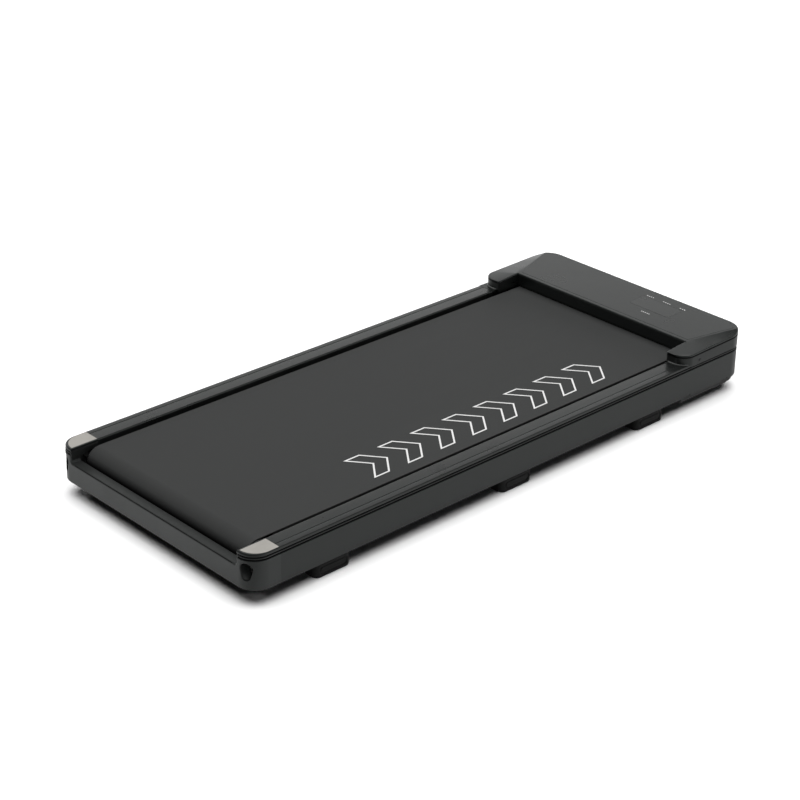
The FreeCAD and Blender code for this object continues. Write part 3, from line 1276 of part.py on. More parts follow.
def power_group():
    """Power inlet, rocker switch and breaker in the sunk panel at the front."""
    gap = size.fit_gap
    margin = size.flange_width
    corner = size.flange_corner
    inlet = Piece("inlet_housing")
    back = socket_floor - size.inlet_depth
    inlet.add("XZ", back, socket_floor, box(
        inlet_x - inlet_half_width + gap, inlet_x + inlet_half_width - gap,
        socket_middle - inlet_half_height + gap, socket_middle + inlet_half_height - gap))
    inlet_flange = inlet_half_width + size.inlet_flange
    inlet.add("XZ", socket_floor, flange_front, box(
        inlet_x - inlet_flange, inlet_x + inlet_flange,
        socket_middle - inlet_half_height - margin, socket_middle + inlet_half_height + margin, corner))
    inlet_floor = back + size.inlet_floor
    inlet.cut("XZ", inlet_floor, flange_front, socket_mouth())
    pins = Piece("inlet_pins")
    across = size.blade_pin_width / 2
    upright = size.blade_pin_height / 2
    pitch = size.blade_pin_pitch
    drop = -size.blade_pin_drop
    pins.add("XZ", inlet_floor, socket_floor - size.blade_pin_setback, *[
        box(inlet_x + x - across, inlet_x + x + across,
            socket_middle + z - upright, socket_middle + z + upright)
        for x, z in ((-pitch, drop), (0, size.earth_pin_rise), (pitch, drop))])

    bezel = Piece("switch_bezel")
    bezel.add("XZ", socket_floor - size.switch_depth, socket_floor, box(
        switch_x - switch_half_width + gap, switch_x + switch_half_width - gap,
        socket_middle - switch_half_height + gap, socket_middle + switch_half_height - gap))
    bezel.add("XZ", socket_floor, flange_front, box(
        switch_x - switch_half_width - margin, switch_x + switch_half_width + margin,
        socket_middle - switch_half_height - margin, socket_middle + switch_half_height + margin, corner))
    well_width = switch_half_width - gap - size.switch_wall
    well_height = switch_half_height - gap - size.switch_wall
    bezel.cut("XZ", rocker_pivot - size.rocker_room, flange_front, box(
        switch_x - well_width, switch_x + well_width,
        socket_middle - well_height, socket_middle + well_height))
    rocker = Piece("switch_rocker")
    rocker_half = well_width - gap
    reach = well_height - size.rocker_play
    face = size.rocker_face
    rocker.add("YZ", -rocker_half, rocker_half, Outline(
        (-size.rocker_back, -reach), (face, -reach), (face - size.rocker_dip, 0),
        (face, reach), (-size.rocker_back, reach)))
    rocker.add("YZ", -rocker_half, rocker_half, Circle(0, 0, size.rocker_hub))
    rocker.place(switch_x, rocker_pivot, socket_middle, tilt=size.rocker_tilt)

    button = size.breaker_button / 2
    breaker = Piece("breaker_body")
    breaker.add("XZ", socket_floor - size.breaker_depth, socket_floor,
                Circle(breaker_x, socket_middle, breaker_radius - gap))
    breaker.add("XZ", socket_floor, flange_front, Circle(breaker_x, socket_middle, breaker_radius + margin))
    well_floor = socket_floor - size.breaker_well
    breaker.cut("XZ", well_floor, flange_front, Circle(breaker_x, socket_middle, button + gap))
    knob = Piece("breaker_button")
    knob.add("XZ", well_floor + size.button_setback, flange_front - size.button_setback,
             Circle(breaker_x, socket_middle, button))


def socket_mouth():
    """Opening of the power inlet: a rectangle with two cut corners."""
    half = inlet_half_width - size.mouth_wall
    low = socket_middle - inlet_half_height + size.mouth_margin
    high = socket_middle + inlet_half_height - size.mouth_margin
    cut = size.mouth_bevel
    return Outline((inlet_x - half, low), (inlet_x + half, low), (inlet_x + half, high - cut),
                   (inlet_x + half - cut, high), (inlet_x - half + cut, high), (inlet_x - half, high - cut))


def foot(name, side, place):
    """Rubber foot under a beam: a block with a sunk, barred panel outside, a neck and a screw well."""
    outside = half_width - size.foot_inset
    inside = outside - size.foot_width
    reach = size.foot_length / 2
    corner = size.foot_corner
    piece = Piece(name)
    for low, high, inset in ((as_size(0), size.foot_block, as_size(0)),
                             (size.foot_block, size.beam_bottom, size.foot_neck_inset)):
        near, far = inside + inset, outside - inset
        half, bend = reach - inset, corner - inset
        piece.add("XY", low, high, mirrored(side, [
            (near, place - half, bend), (far, place - half, bend),
            (far, place + half, bend), (near, place + half, bend)]))
    piece.round(lambda edge: lies_at(edge, "z", as_size(0)), size.foot_edge)
    panel_reach = reach - corner - size.foot_panel_inset
    panel, bar = (Loop(*[(place + end, size.foot_panel_height, radius) for end in (-panel_reach, panel_reach)])
                  for radius in (size.foot_panel_radius, size.foot_bar_radius))
    floor = outside - size.foot_panel_depth
    bar_top = floor + size.foot_bar_rise
    if side > 0:
        piece.cut("YZ", floor, outside, panel)
        piece.add("YZ", floor, bar_top, bar)
    else:
        piece.cut("YZ", -outside, -floor, panel)
        piece.add("YZ", -bar_top, -floor, bar)
    piece.cut("XY", 0, foot_screw_seat, Circle(beam_middle * side, place, screw_well))
    piece.cut("XY", foot_screw_seat, size.beam_bottom, Circle(beam_middle * side, place, screw_hole))


def wheel_group():
    """Transport wheels under the front, each on a pin between two ears."""
    tread = size.wheel_diameter / 2
    half = size.wheel_width / 2
    web = half - size.wheel_dish
    hub = size.wheel_hub / 2
    rim = tread - size.wheel_rim
    edge = size.wheel_round
    bore = size.pin_diameter / 2 + size.fit_gap
    for name, side in SIDES:
        wheel = Piece(f"{name}_transport_wheel")
        wheel.turn("XY", "X", Outline(
            (-half, bore), (-half, hub), (-web, hub), (-web, rim), (-half, rim), (-half, tread, edge),
            (half, tread, edge), (half, rim), (web, rim), (web, hub), (half, hub), (half, bore)))
        wheel.place(wheel_middle * side, wheel_axis, wheel_height)
    pins = Piece("wheel_pins")
    forks = Piece("wheel_forks")
    inner = wheel_middle - half - size.wheel_side_room
    outer = wheel_middle + half + size.wheel_side_room
    ear = size.ear_thickness
    reach = size.ear_length / 2
    profile = box(wheel_axis - reach, wheel_axis + reach, wheel_height - size.ear_drop, lip_top)
    hole = Circle(wheel_axis, wheel_height, size.pin_diameter / 2 + size.bearing_play)
    pin = Circle(wheel_axis, wheel_height, size.pin_diameter / 2)
    for _, side in SIDES:
        for start, end in ((inner - ear, inner), (outer, outer + ear)):
            low, high = (start, end) if side > 0 else (-end, -start)
            forks.add("YZ", low, high, profile, hole)
        start, end = inner - ear - size.pin_past, outer + ear + size.pin_past
        low, high = (start, end) if side > 0 else (-end, -start)
        pins.add("YZ", low, high, pin)


def small_screws():
    """Foot screws and bottom cover screws from below, hood screws from the sides."""
    shank = size.screw_diameter / 2
    head = size.screw_head / 2
    places = [(beam_middle * side, place) for _, place in FOOT_PLACES for _, side in SIDES]
    feet = Piece("foot_screws")
    head_bottom = foot_screw_seat - size.screw_head_height
    feet.add("XY", head_bottom, foot_screw_seat, *[Circle(x, y, head) for x, y in places])
    tip = size.beam_bottom + size.foot_screw_reach
    feet.add("XY", foot_screw_seat, tip, *[Circle(x, y, shank) for x, y in places])

    cover = Piece("cover_screws")
    seat = size.pan_bottom + size.cover_screw_sink
    tip = plate_top + size.cover_screw_reach
    cover.add("XY", seat - size.cover_screw_head_height, seat,
              *[Circle(x, y, size.cover_screw_head / 2) for x, y in COVER_SCREWS])
    cover.add("XY", seat, tip, *[Circle(x, y, size.cover_screw_diameter / 2) for x, y in COVER_SCREWS])

    hood = Piece("hood_screws")
    tip = half_width - size.hood_screw_reach
    face = half_width - size.hood_screw_setback
    for start, end, diameter in ((hood_screw_seat, face, size.hood_screw_head),
                                 (tip, hood_screw_seat, size.hood_screw_diameter)):
        for low, high in ((start, end), (-end, -start)):
            hood.add("YZ", low, high, Circle(hood_screw_y, hood_screw_z, diameter / 2))


def build():
    for name, side in SIDES:
        side_cover(name, side)
        foot_rail(name, side)
        frame_beam(name, side)
        rail_end_cap(name, side)
    rear_end_cap()
    front_tray()
    bottom_cover()
    hood_base()
    hood_cover()
    control_panel()
    running_belt()
    deck_group()
    roller_group()
    motor_group()
    front_frame()
    controller_group()
    power_group()
    for where, place in FOOT_PLACES:
        for name, side in SIDES:
            foot(f"{name}_{where}_foot", side, place)
    wheel_group()
    small_screws()


def write_nodes():
    """Check every sub-part and write each to its own file."""
    doc.recompute()
    faults = [item.Label for item in doc.Objects if "Invalid" in item.State or "Error" in item.State]
    faults += [body.Label for body in nodes if body.Shape.isNull() or not body.Shape.isValid()]
    if faults:
        raise RuntimeError(f"not sound: {faults}")
    os.makedirs("parts", exist_ok=True)
    for body in nodes:
        body.Shape.exportStep(f"parts/{body.Label}.step")


build()
write_nodes()
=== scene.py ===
import json
import math
from functools import cache

import bmesh
import bpy
from mathutils import Matrix, Vector


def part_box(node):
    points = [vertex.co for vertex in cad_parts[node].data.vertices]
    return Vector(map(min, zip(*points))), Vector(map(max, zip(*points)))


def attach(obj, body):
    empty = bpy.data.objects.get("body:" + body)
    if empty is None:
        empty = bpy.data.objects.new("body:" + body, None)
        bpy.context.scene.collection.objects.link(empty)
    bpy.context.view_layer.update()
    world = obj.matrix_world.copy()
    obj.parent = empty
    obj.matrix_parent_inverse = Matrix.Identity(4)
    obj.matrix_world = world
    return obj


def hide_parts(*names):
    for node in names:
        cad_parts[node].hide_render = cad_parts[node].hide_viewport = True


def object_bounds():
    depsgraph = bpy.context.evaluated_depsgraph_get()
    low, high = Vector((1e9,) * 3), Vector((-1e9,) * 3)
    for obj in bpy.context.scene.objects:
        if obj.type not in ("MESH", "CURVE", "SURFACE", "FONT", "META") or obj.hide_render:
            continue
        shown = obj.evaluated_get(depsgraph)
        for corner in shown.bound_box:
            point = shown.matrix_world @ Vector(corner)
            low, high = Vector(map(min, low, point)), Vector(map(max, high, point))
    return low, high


bl_info = {
    "name": "Walking Pad",
    "version": (1, 0, 0),
    "blender": (4, 5, 0),
    "location": "3D View > Sidebar > Walking Pad",
    "description": "Finishes the shells, belt and running gear of a walking pad and sets a studio for it",
    "category": "Object",
}

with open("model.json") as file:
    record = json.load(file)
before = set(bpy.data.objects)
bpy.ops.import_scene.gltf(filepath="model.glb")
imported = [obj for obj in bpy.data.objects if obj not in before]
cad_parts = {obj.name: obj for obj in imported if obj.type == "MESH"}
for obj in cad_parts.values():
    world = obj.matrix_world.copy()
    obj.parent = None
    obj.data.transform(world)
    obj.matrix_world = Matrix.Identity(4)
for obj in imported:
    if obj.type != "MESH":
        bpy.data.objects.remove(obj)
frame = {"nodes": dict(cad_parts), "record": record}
nodes = frame["nodes"]
solid_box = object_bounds()

# Lengths are metres. +X is the walker's right, +Y is forward to the hood, +Z is up.
MM = 0.001
SIDES = {"left": -1, "right": 1}
FOOT_PLACES = ("rear", "middle", "front")
# Faces that turn less than the first angle are one face, and edges over the second are edges of the moulding
FLAT_ANGLE = math.radians(0.4)
CREASE_ANGLE = math.radians(25)
WELD = 0.02 * MM
# Prints and trims stand this far off the surface that carries them
PRINT_LIFT = 0.06 * MM
PRINT_THICKNESS = 0.1 * MM
# Roundings of the shells in plan: front and rear corners, and the hood's arms
FRONT_ROUND = 42 * MM
REAR_ROUND = 34 * MM
ARM_ROUND = 25 * MM
ARM_TIP_ROUND = 4 * MM
LIP_HEIGHT = 1.7 * MM
# Steps of roundings in plan
ROUND_STEPS = 12
TIP_STEPS = 6
PAD_STEPS = 16
RING_POINTS = 24
# Rear bar, and the guard in front of it
BAR_TOP = 66.5 * MM
BAR_ROUND = 3 * MM
BELT_BAR_GAP = 8 * MM
GUARD_DROP = 2 * MM
# Reveal round the walls and the climbing seam under the hood cover, by heights above the floor.
# Black strips in them paint shade into these shadow lines
REVEAL_DEPTH = 2 * MM
REVEAL_STRIPS = {"lower": (80.7 * MM, 83.1 * MM), "upper": (85.5 * MM, 87.3 * MM)}
SEAM_LINE = 3.0 * MM
SEAM_FRONT = 111.5 * MM
SEAM_REAR = 108.5 * MM
# Rise of the control panel over its run
HOOD_SLOPE = 4.2 / 126
# Rows of key marks, in millimetres: each row's place along the machine, and where its marks start and end
KEY_ROWS = {561: ((33, 52), (73, 93), (114, 129)), 501: ((71, 93),)}
# Belt section, and the steps of its turn round a roller
BELT_THICKNESS = 1.6 * MM
BELT_EDGE = 0.5 * MM
BELT_TURN_STEPS = 40
# Slanting splice of the belt: its place along the belt, its slant and the fade of its edge
SPLICE_PLACE = 0.30
SPLICE_SLANT = 0.35
SPLICE_EDGE = (0.4 * MM, 0.9 * MM)
# Heights between which the belt goes from painted shade, where little light gets behind the rear bar, to its
# walking colour
PAINTED_SHADE_HEIGHTS = (64 * MM, 77 * MM)
# Screws, in millimetres: head radius, head thickness and shank radius; breadth of a recess by its length
SCREW_SIZES = {"foot_screws": (6, 3, 3), "cover_screws": (4, 2.6, 2), "deck_screws": (6, 2.8, 3)}
RECESS_BREADTH = 0.26
HOOD_SCREW_THICKNESS = 1.0 * MM
HOOD_SCREW_SHANK = 1.5 * MM
HOOD_SCREW_REACH = 12.6 * MM
# Tint of what the plastics mirror
SHEEN_TINT = (0.955, 1.0, 0.985, 1.0)
# Brightness of the background by degrees above the horizon, and where its rear share fades in
SWEEP_STEPS = {19: 1.0, 24: 0.58, 28: 0.24, 34: 0.16, 90: 0.16}
SWEEP_FADE = (-0.35, 0.20)
# Painted shade in the floor that all but camera rays meet and the shells mirror: its levels under the machine
# and out to the right, and the share of them that is left off the right rear corner
PAINTED_SHADE_SPAN = (0.05, 0.45)
PAINTED_SHADE_LEVELS = (0.58, 0.40)
CORNER_SIDE = (0.14, 0.30)
CORNER_REAR = (-0.59, -0.64)
CORNER_SHARE = 0.60
FLOOR_REACH = 40.0

belt_low, belt_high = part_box("running_belt")
hood_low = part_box("hood_cover")[0]
panel_low, panel_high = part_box("control_panel")
cap_low, cap_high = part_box("right_rail_end_cap")
rail_low, rail_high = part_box("right_foot_rail")
side_low, side_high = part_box("right_side_cover")
COVER_JOINTS = (side_low.y, side_high.y)


def colour(name, description, value):
    """A colour setting."""
    return bpy.props.FloatVectorProperty(
        name=name, description=description, default=value, size=4, min=0.0, max=1.0, subtype="COLOR")


def length(name, description, value):
    """A length setting, in metres."""
    return bpy.props.FloatProperty(
        name=name, description=description, default=value, min=0.0, precision=5, unit="LENGTH")


def number(name, description, value):
    """A plain number setting."""
    return bpy.props.FloatProperty(name=name, description=description, default=value, min=0.0)


def angle(name, description, value):
    """An angle setting, given in degrees."""
    return bpy.props.FloatProperty(
        name=name, description=description, default=math.radians(value), unit="ROTATION")


class ShellSettings(bpy.types.PropertyGroup):
    """Colours and edges of the moulded shells."""

    side: colour("Side colour", "Side covers and front tray", (0.0045, 0.0052, 0.0049, 1.0))
    cap: colour("Rear cap colour", "Rear end cap", (0.0118, 0.0127, 0.0123, 1.0))
    rail: colour("Rail colour", "Foot rails and their end caps", (0.0055, 0.0062, 0.0059, 1.0))
    band: colour("Band colour", "Band under the hood cover", (0.0045, 0.0053, 0.0050, 1.0))
    hood: colour("Hood colour", "Hood cover", (0.0055, 0.0064, 0.0061, 1.0))
    panel: colour("Panel colour", "Control panel", (0.0058, 0.0065, 0.0062, 1.0))
    lens: colour("Display colour", "Smoked window of the display", (0.0115, 0.0122, 0.0119, 1.0))
    worn: colour("Worn edge colour", "Plastic rubbed pale along its edges", (0.024, 0.026, 0.025, 1.0))
    edge: length("Edge radius", "Rounded edges of covers and rails", 0.8 * MM)
    hood_edge: length("Hood edge radius", "Rounded edges of the hood cover", 2.0 * MM)
    panel_edge: length("Panel edge radius", "Rounded edge of the control panel", 0.3 * MM)
    grain: length("Grain", "Pitch of the moulded grain", 0.9 * MM)
    parting: length("Parting line", "Dark line along the rear bar's rounded edge", 0.7 * MM)
    lip: length("Arm lip", "Thin lip at the foot of the hood's arms", 3.0 * MM)
    # Painted highlight: the arm lip is much lighter than the hood plastic, standing for the light line along
    # the foot of each arm
    lip_painted_highlight: colour("Lip colour", "Lip at the foot of the hood's arms", (0.110, 0.114, 0.112, 1.0))
    # Painted shade: black strips that darken the shadow lines
    strip: length("Strip thickness", "Dark strips in the shadow lines", 0.6 * MM)


class BeltSettings(bpy.types.PropertyGroup):
    """Running belt and the arrows printed on it."""

    belt: colour("Belt colour", "Walking side of the belt", (0.0325, 0.0333, 0.0330, 1.0))
    # Painted shade: the belt's colour below the walking height, where little light gets behind the rear bar
    shade: colour("Belt shade", "Belt below the walking height, behind the rear bar",
                  (0.005, 0.005, 0.005, 1.0))
    ink: colour("Ink colour", "Arrows on the belt and marks on the panel", (0.56, 0.56, 0.555, 1.0))
    weave: length("Weave pitch", "Fine diamonds pressed into the belt", 2.2 * MM)
    arrow_count: bpy.props.IntProperty(name="Arrows", description="Arrows in the row", default=8, min=1)
    arrow_start: length("Row start", "Middle of the machine back to the row's rear end", 273 * MM)
    arrow_pitch: length("Arrow pitch", "From one arrow to the next", 74 * MM)
    arrow_middle: length("Row offset", "Middle line to the middle of the row", 144 * MM)
    arrow_width: length("Arrow width", "Arrows across the belt", 76 * MM)
    arrow_depth: length("Arrow depth", "Arm of an arrow along the belt", 34 * MM)
    arrow_point: length("Arrow point", "How far the middle of an arrow leads its ends", 30 * MM)
    line: length("Line width", "Outline of the arrows", 3.0 * MM)


class DetailSettings(bpy.types.PropertyGroup):
    """Corner pads, key and switch marks, feet and screws."""

    pad: colour("Corner pad colour", "Plain pads on the rear corners", (0.255, 0.245, 0.226, 1.0))
    pad_side: length("Pad side margin", "Pads in from the sides of the end caps", 2.5 * MM)
    pad_rear: length("Pad rear margin", "Pads in from the rear of the end caps", 4.5 * MM)
    mark_height: length("Mark height", "Key marks on the control panel", 1.9 * MM)
    switch_line: length("Switch line", "Line of the marks on the power switch", 0.5 * MM)
    switch_mark: length("Switch mark", "Height of the marks on the power switch", 3.0 * MM)
    foot_edge: length("Foot edge radius", "Rounded edges of the rubber feet", 1.2 * MM)
    recess: number("Recess share", "Cross recess as a share of the screw head", 0.62)


class StudioSettings(bpy.types.PropertyGroup):
    """Camera, floor and light."""

    azimuth: angle("Azimuth", "Camera round the machine, from behind to the right", 46.88)
    elevation: angle("Elevation", "Camera above the horizon", 26.52)
    roll: angle("Roll", "Camera about its own axis", 0.63)
    distance: length("Distance", "Camera from the point that it looks at", 3.583)
    lens: number("Lens", "Focal length in millimetres on a 36 mm sensor", 91.46)
    target: bpy.props.FloatVectorProperty(
        name="Target", description="Point that the camera looks at", default=(-0.0379, -0.0127, 0.0593),
        subtype="XYZ", unit="LENGTH")
    floor: colour("Floor colour", "Plain studio floor", (0.92, 0.92, 0.92, 1.0))
    sweep: number("Sweep strength", "White background near the horizon", 1.56)
    behind: number("Rear share", "Share of the background's brightness behind the machine", 0.18)
    overhead: number("Overhead strength", "Soft light from above", 5.0)
    fill: number("Fill strength", "Soft light on the underside", 1.4)
    spread: angle("Light spread", "Breadth of the soft lights", 78)
    lean: angle("Overhead lean", "Overhead light from straight above towards the hood", 3.0)


def settings(group):
    """One of this scene's groups of settings."""
    return getattr(bpy.context.scene, f"walking_pad_{group}")


# Node helpers

def plug(tree, value, socket):
    """Link an output to a socket, or set the socket to a plain value."""
    if isinstance(value, bpy.types.NodeSocket):
        tree.links.new(value, socket)
    else:
        socket.default_value = value


def add_node(tree, kind, sockets=None, **attributes):
    """A node with its attributes set and its sockets plugged."""
    node = tree.nodes.new(kind)
    for name, value in attributes.items():
        setattr(node, name, value)
    for key, value in (sockets or {}).items():
        plug(tree, value, node.inputs[key])
    return node


def maths(tree, operation, first, second=0.0):
    """Output of a Math node."""
    return add_node(tree, "ShaderNodeMath", {0: first, 1: second}, operation=operation).outputs[0]


def between(tree, value, low, high, to_low=0.0, to_high=1.0):
    """Output of a clamped Map Range node."""
    node = add_node(tree, "ShaderNodeMapRange", {
        "Value": value, "From Min": low, "From Max": high, "To Min": to_low, "To Max": to_high})
    return node.outputs["Result"]


def varied(tree, texture, low, high):
    """A noise spread from low to high over its usual range."""
    return between(tree, texture, 0.3, 0.7, low, high)


def blend(tree, share, first, second):
    """Colour output of a Mix node."""
    return add_node(tree, "ShaderNodeMix", {0: share, 6: first, 7: second}, data_type="RGBA").outputs[2]


def noise(tree, place, scale, detail):
    """Value output of a noise texture."""
    node = add_node(tree, "ShaderNodeTexNoise", {"Vector": place, "Scale": scale, "Detail": detail})
    return node.outputs["Fac"]


def stretched(tree, place, factors):
    """A place with each of its coordinates multiplied."""
    return add_node(tree, "ShaderNodeVectorMath", {0: place, 1: factors}, operation="MULTIPLY").outputs[0]


def parts_of(tree, vector):
    """The X, Y and Z outputs of a vector."""
    return add_node(tree, "ShaderNodeSeparateXYZ", {0: vector}).outputs


def shader_group(name, inputs, outputs):
    """An empty shader group with named value sockets, and its two end nodes."""
    tree = bpy.data.node_groups.new(name, "ShaderNodeTree")
    for label, value in inputs.items():
        socket = tree.interface.new_socket(label, in_out="INPUT", socket_type="NodeSocketFloat")
        socket.default_value = value
    for label in outputs:
        tree.interface.new_socket(label, in_out="OUTPUT", socket_type="NodeSocketFloat")
    return tree, tree.nodes.new("NodeGroupInput"), tree.nodes.new("NodeGroupOutput")


def object_place(tree):
    """Object coordinates, in metres from the machine's middle."""
    return add_node(tree, "ShaderNodeTexCoord").outputs["Object"]


# Shared effects

@cache
def grain_effect():
    """Fine spark-eroded grain of moulded plastic, with slow mottling."""
    tree, start, end = shader_group("Moulded grain", {"Pitch": 0.0009}, ("Height", "Mottle"))
    place = object_place(tree)
    scale = maths(tree, "DIVIDE", 1.0, start.outputs["Pitch"])
    pits = add_node(tree, "ShaderNodeTexVoronoi", {"Vector": place, "Scale": scale, "Randomness": 1.0},
                    feature="SMOOTH_F1")
    height = maths(tree, "ADD", pits.outputs["Distance"], noise(tree, place, scale, 2.0))
    tree.links.new(height, end.inputs["Height"])
    tree.links.new(noise(tree, place, 14.0, 4.0), end.inputs["Mottle"])
    return tree


@cache
def wear_effect():
    """Broken pale wear where an edge turns within the given radius."""
    tree, start, end = shader_group("Edge wear", {"Radius": 0.001, "Amount": 0.5}, ("Wear",))
    soft = add_node(tree, "ShaderNodeBevel", {"Radius": start.outputs["Radius"]}, samples=4)
    sharp = add_node(tree, "ShaderNodeNewGeometry")
    facing = add_node(tree, "ShaderNodeVectorMath", {0: soft.outputs["Normal"], 1: sharp.outputs["Normal"]},
                      operation="DOT_PRODUCT")
    turned = between(tree, facing.outputs["Value"], 0.99, 0.80)
    patchy = between(tree, noise(tree, object_place(tree), 130.0, 5.0), 0.36, 0.62)
    wear = maths(tree, "MULTIPLY", maths(tree, "MULTIPLY", turned, patchy), start.outputs["Amount"])
    tree.links.new(wear, end.inputs["Wear"])
    return tree


@cache
def dust_effect():
    """Thin dust that settles on faces that look up."""
    tree, start, end = shader_group("Settled dust", {"Amount": 0.2}, ("Dust",))
    facing = parts_of(tree, add_node(tree, "ShaderNodeNewGeometry").outputs["Normal"])
    upward = between(tree, facing["Z"], 0.4, 1.0)
    place = object_place(tree)
    fine = between(tree, noise(tree, place, 320.0, 6.0), 0.50, 0.80)
    broad = between(tree, noise(tree, place, 7.0, 3.0), 0.30, 0.75, 0.3, 1.0)
    dust = maths(tree, "MULTIPLY", maths(tree, "MULTIPLY", fine, broad), upward)
    tree.links.new(maths(tree, "MULTIPLY", dust, start.outputs["Amount"]), end.inputs["Dust"])
    return tree


@cache
def brushed_effect():
    """Fine lines that run along the machine's width, as on turned or drawn metal."""
    tree, start, end = shader_group("Drawn lines", {"Lines": 900.0}, ("Height",))
    fine = start.outputs["Lines"]
    scale = add_node(tree, "ShaderNodeCombineXYZ", {"X": 12.0, "Y": fine, "Z": fine})
    drawn = stretched(tree, object_place(tree), scale.outputs[0])
    tree.links.new(noise(tree, drawn, 1.0, 3.0), end.inputs["Height"])
    return tree


# Materials

def new_material(name):
    """A material with its tree and its Principled shader."""
    material = bpy.data.materials.new(name)
    material.use_nodes = True
    return material, material.node_tree, material.node_tree.nodes["Principled BSDF"]


def set_shader(tree, shader, **values):
    """Plain values and outputs for the shader's own sockets, by plain names."""
    names = {"base": "Base Color", "metal": "Metallic", "rough": "Roughness", "gloss": "Specular IOR Level",
             "tint": "Specular Tint", "coat": "Coat Weight"}
    for key, value in values.items():
        plug(tree, value, shader.inputs[names[key]])


def effect(tree, group, **inputs):
    """A shared effect placed in a material with its own values."""
    node = add_node(tree, "ShaderNodeGroup", node_tree=group)
    for name, value in inputs.items():
        node.inputs[name.capitalize()].default_value = value
    return node


def bump(tree, shader, height, depth):
    """Relief of the given depth on a shader."""
    node = add_node(tree, "ShaderNodeBump", {"Height": height, "Strength": 1.0, "Distance": depth})
    tree.links.new(node.outputs["Normal"], shader.inputs["Normal"])


def moulded_plastic(name, base, gloss, rough, grain_depth=0.03 * MM, wear=0.5, dust=0.10):
    """Grained plastic with mottled sheen, rubbed edges and a little dust."""
    shell = settings("shell")
    material, tree, shader = new_material(name)
    grain = effect(tree, grain_effect(), pitch=shell.grain)
    worn = effect(tree, wear_effect(), radius=shell.edge, amount=wear)
    dusty = effect(tree, dust_effect(), amount=dust)
    mottle = grain.outputs["Mottle"]
    tone = varied(tree, mottle, 0.0, 0.16)
    plain = blend(tree, tone, tuple(base), tuple(shell.worn))
    rubbed = blend(tree, worn.outputs["Wear"], plain, tuple(shell.worn))
    dusted = blend(tree, dusty.outputs["Dust"], rubbed, (0.075, 0.075, 0.072, 1.0))
    uneven = varied(tree, mottle, rough - 0.04, rough + 0.05)
    bump(tree, shader, grain.outputs["Height"], grain_depth)
    set_shader(tree, shader, base=dusted, rough=uneven, gloss=gloss, tint=SHEEN_TINT)
    return material


def side_plastic():
    return moulded_plastic("side_cover_plastic", settings("shell").side, 0.47, 0.40)


def cap_plastic():
    return moulded_plastic("rear_cap_plastic", settings("shell").cap, 0.50, 0.38)


def rail_plastic():
    return moulded_plastic("foot_rail_plastic", settings("shell").rail, 0.46, 0.30, grain_depth=0.05 * MM)


def band_plastic():
    return moulded_plastic("hood_band_plastic", settings("shell").band, 0.46, 0.38)


def hood_plastic():
    return moulded_plastic("hood_plastic", settings("shell").hood, 0.50, 0.30, dust=0.015)


def panel_film():
    return moulded_plastic("control_panel_film", settings("shell").panel, 0.50, 0.30,
                           grain_depth=0.02 * MM, wear=0.0, dust=0.015)


# Painted highlight: a light colour standing for the light line along the foot of each arm
def lip_plastic():
    return moulded_plastic("arm_lip_plastic", settings("shell").lip_painted_highlight, 0.50, 0.30, wear=0.2)


# Near black, for the strips that paint shade into the shadow lines, and for the rear bar's parting line and
# the guards
def strip_black():
    return moulded_plastic("shadow_strip_black", (0.0012, 0.0012, 0.0012, 1.0), 0.06, 0.80,
                           wear=0.0, dust=0.0)


def black_plastic():
    return moulded_plastic("black_plastic", (0.012, 0.012, 0.012, 1.0), 0.40, 0.52)


def button_plastic():
    return moulded_plastic("breaker_button_plastic", (0.030, 0.030, 0.030, 1.0), 0.45, 0.35, wear=0.3)


def smoked_lens():
    return moulded_plastic("smoked_display_lens", settings("shell").lens, 0.50, 0.30,
                           grain_depth=0.01 * MM, wear=0.0, dust=0.015)


def belt_rubber():
    """Belt cover: pressed diamonds, lane wear and a splice, and painted shade below the walking height,
    behind the rear bar.
    """
    belt = settings("belt")
    material, tree, shader = new_material("belt_rubber")
    run = add_node(tree, "ShaderNodeUVMap", uv_map="belt_run").outputs["UV"]
    split = parts_of(tree, run)
    across, along = split["X"], split["Y"]
    waves = []
    for operation in ("ADD", "SUBTRACT"):
        slant = maths(tree, operation, across, along)
        turns = maths(tree, "MULTIPLY", slant, math.tau / (2 * belt.weave))
        waves.append(maths(tree, "ABSOLUTE", maths(tree, "SINE", turns)))
    diamonds = maths(tree, "MINIMUM", waves[0], waves[1])
    fuzz = maths(tree, "MULTIPLY", noise(tree, run, 900.0, 3.0), 0.6)
    slanted = maths(tree, "SUBTRACT", along, maths(tree, "MULTIPLY", across, SPLICE_SLANT))
    from_splice = maths(tree, "ABSOLUTE", maths(tree, "SUBTRACT", slanted, SPLICE_PLACE))
    splice = between(tree, from_splice, *SPLICE_EDGE)
    relief = maths(tree, "MULTIPLY", maths(tree, "ADD", diamonds, fuzz), splice)
    bump(tree, shader, relief, 0.05 * MM)
    scuff = noise(tree, stretched(tree, run, (26.0, 2.2, 1.0)), 1.0, 5.0)
    worn = between(tree, scuff, 0.42, 0.70, 0.0, 0.10)
    base = blend(tree, worn, tuple(belt.belt), (0.044, 0.044, 0.043, 1.0))
    base = blend(tree, splice, (0.018, 0.018, 0.018, 1.0), base)
    # Painted shade: the belt darkens below the walking height, where little light gets behind the rear bar
    unshaded_share = between(tree, parts_of(tree, object_place(tree))["Z"], *PAINTED_SHADE_HEIGHTS)
    base = blend(tree, unshaded_share, tuple(belt.shade), base)
    set_shader(tree, shader, base=base, rough=varied(tree, scuff, 0.57, 0.63), gloss=0.04)
    return material


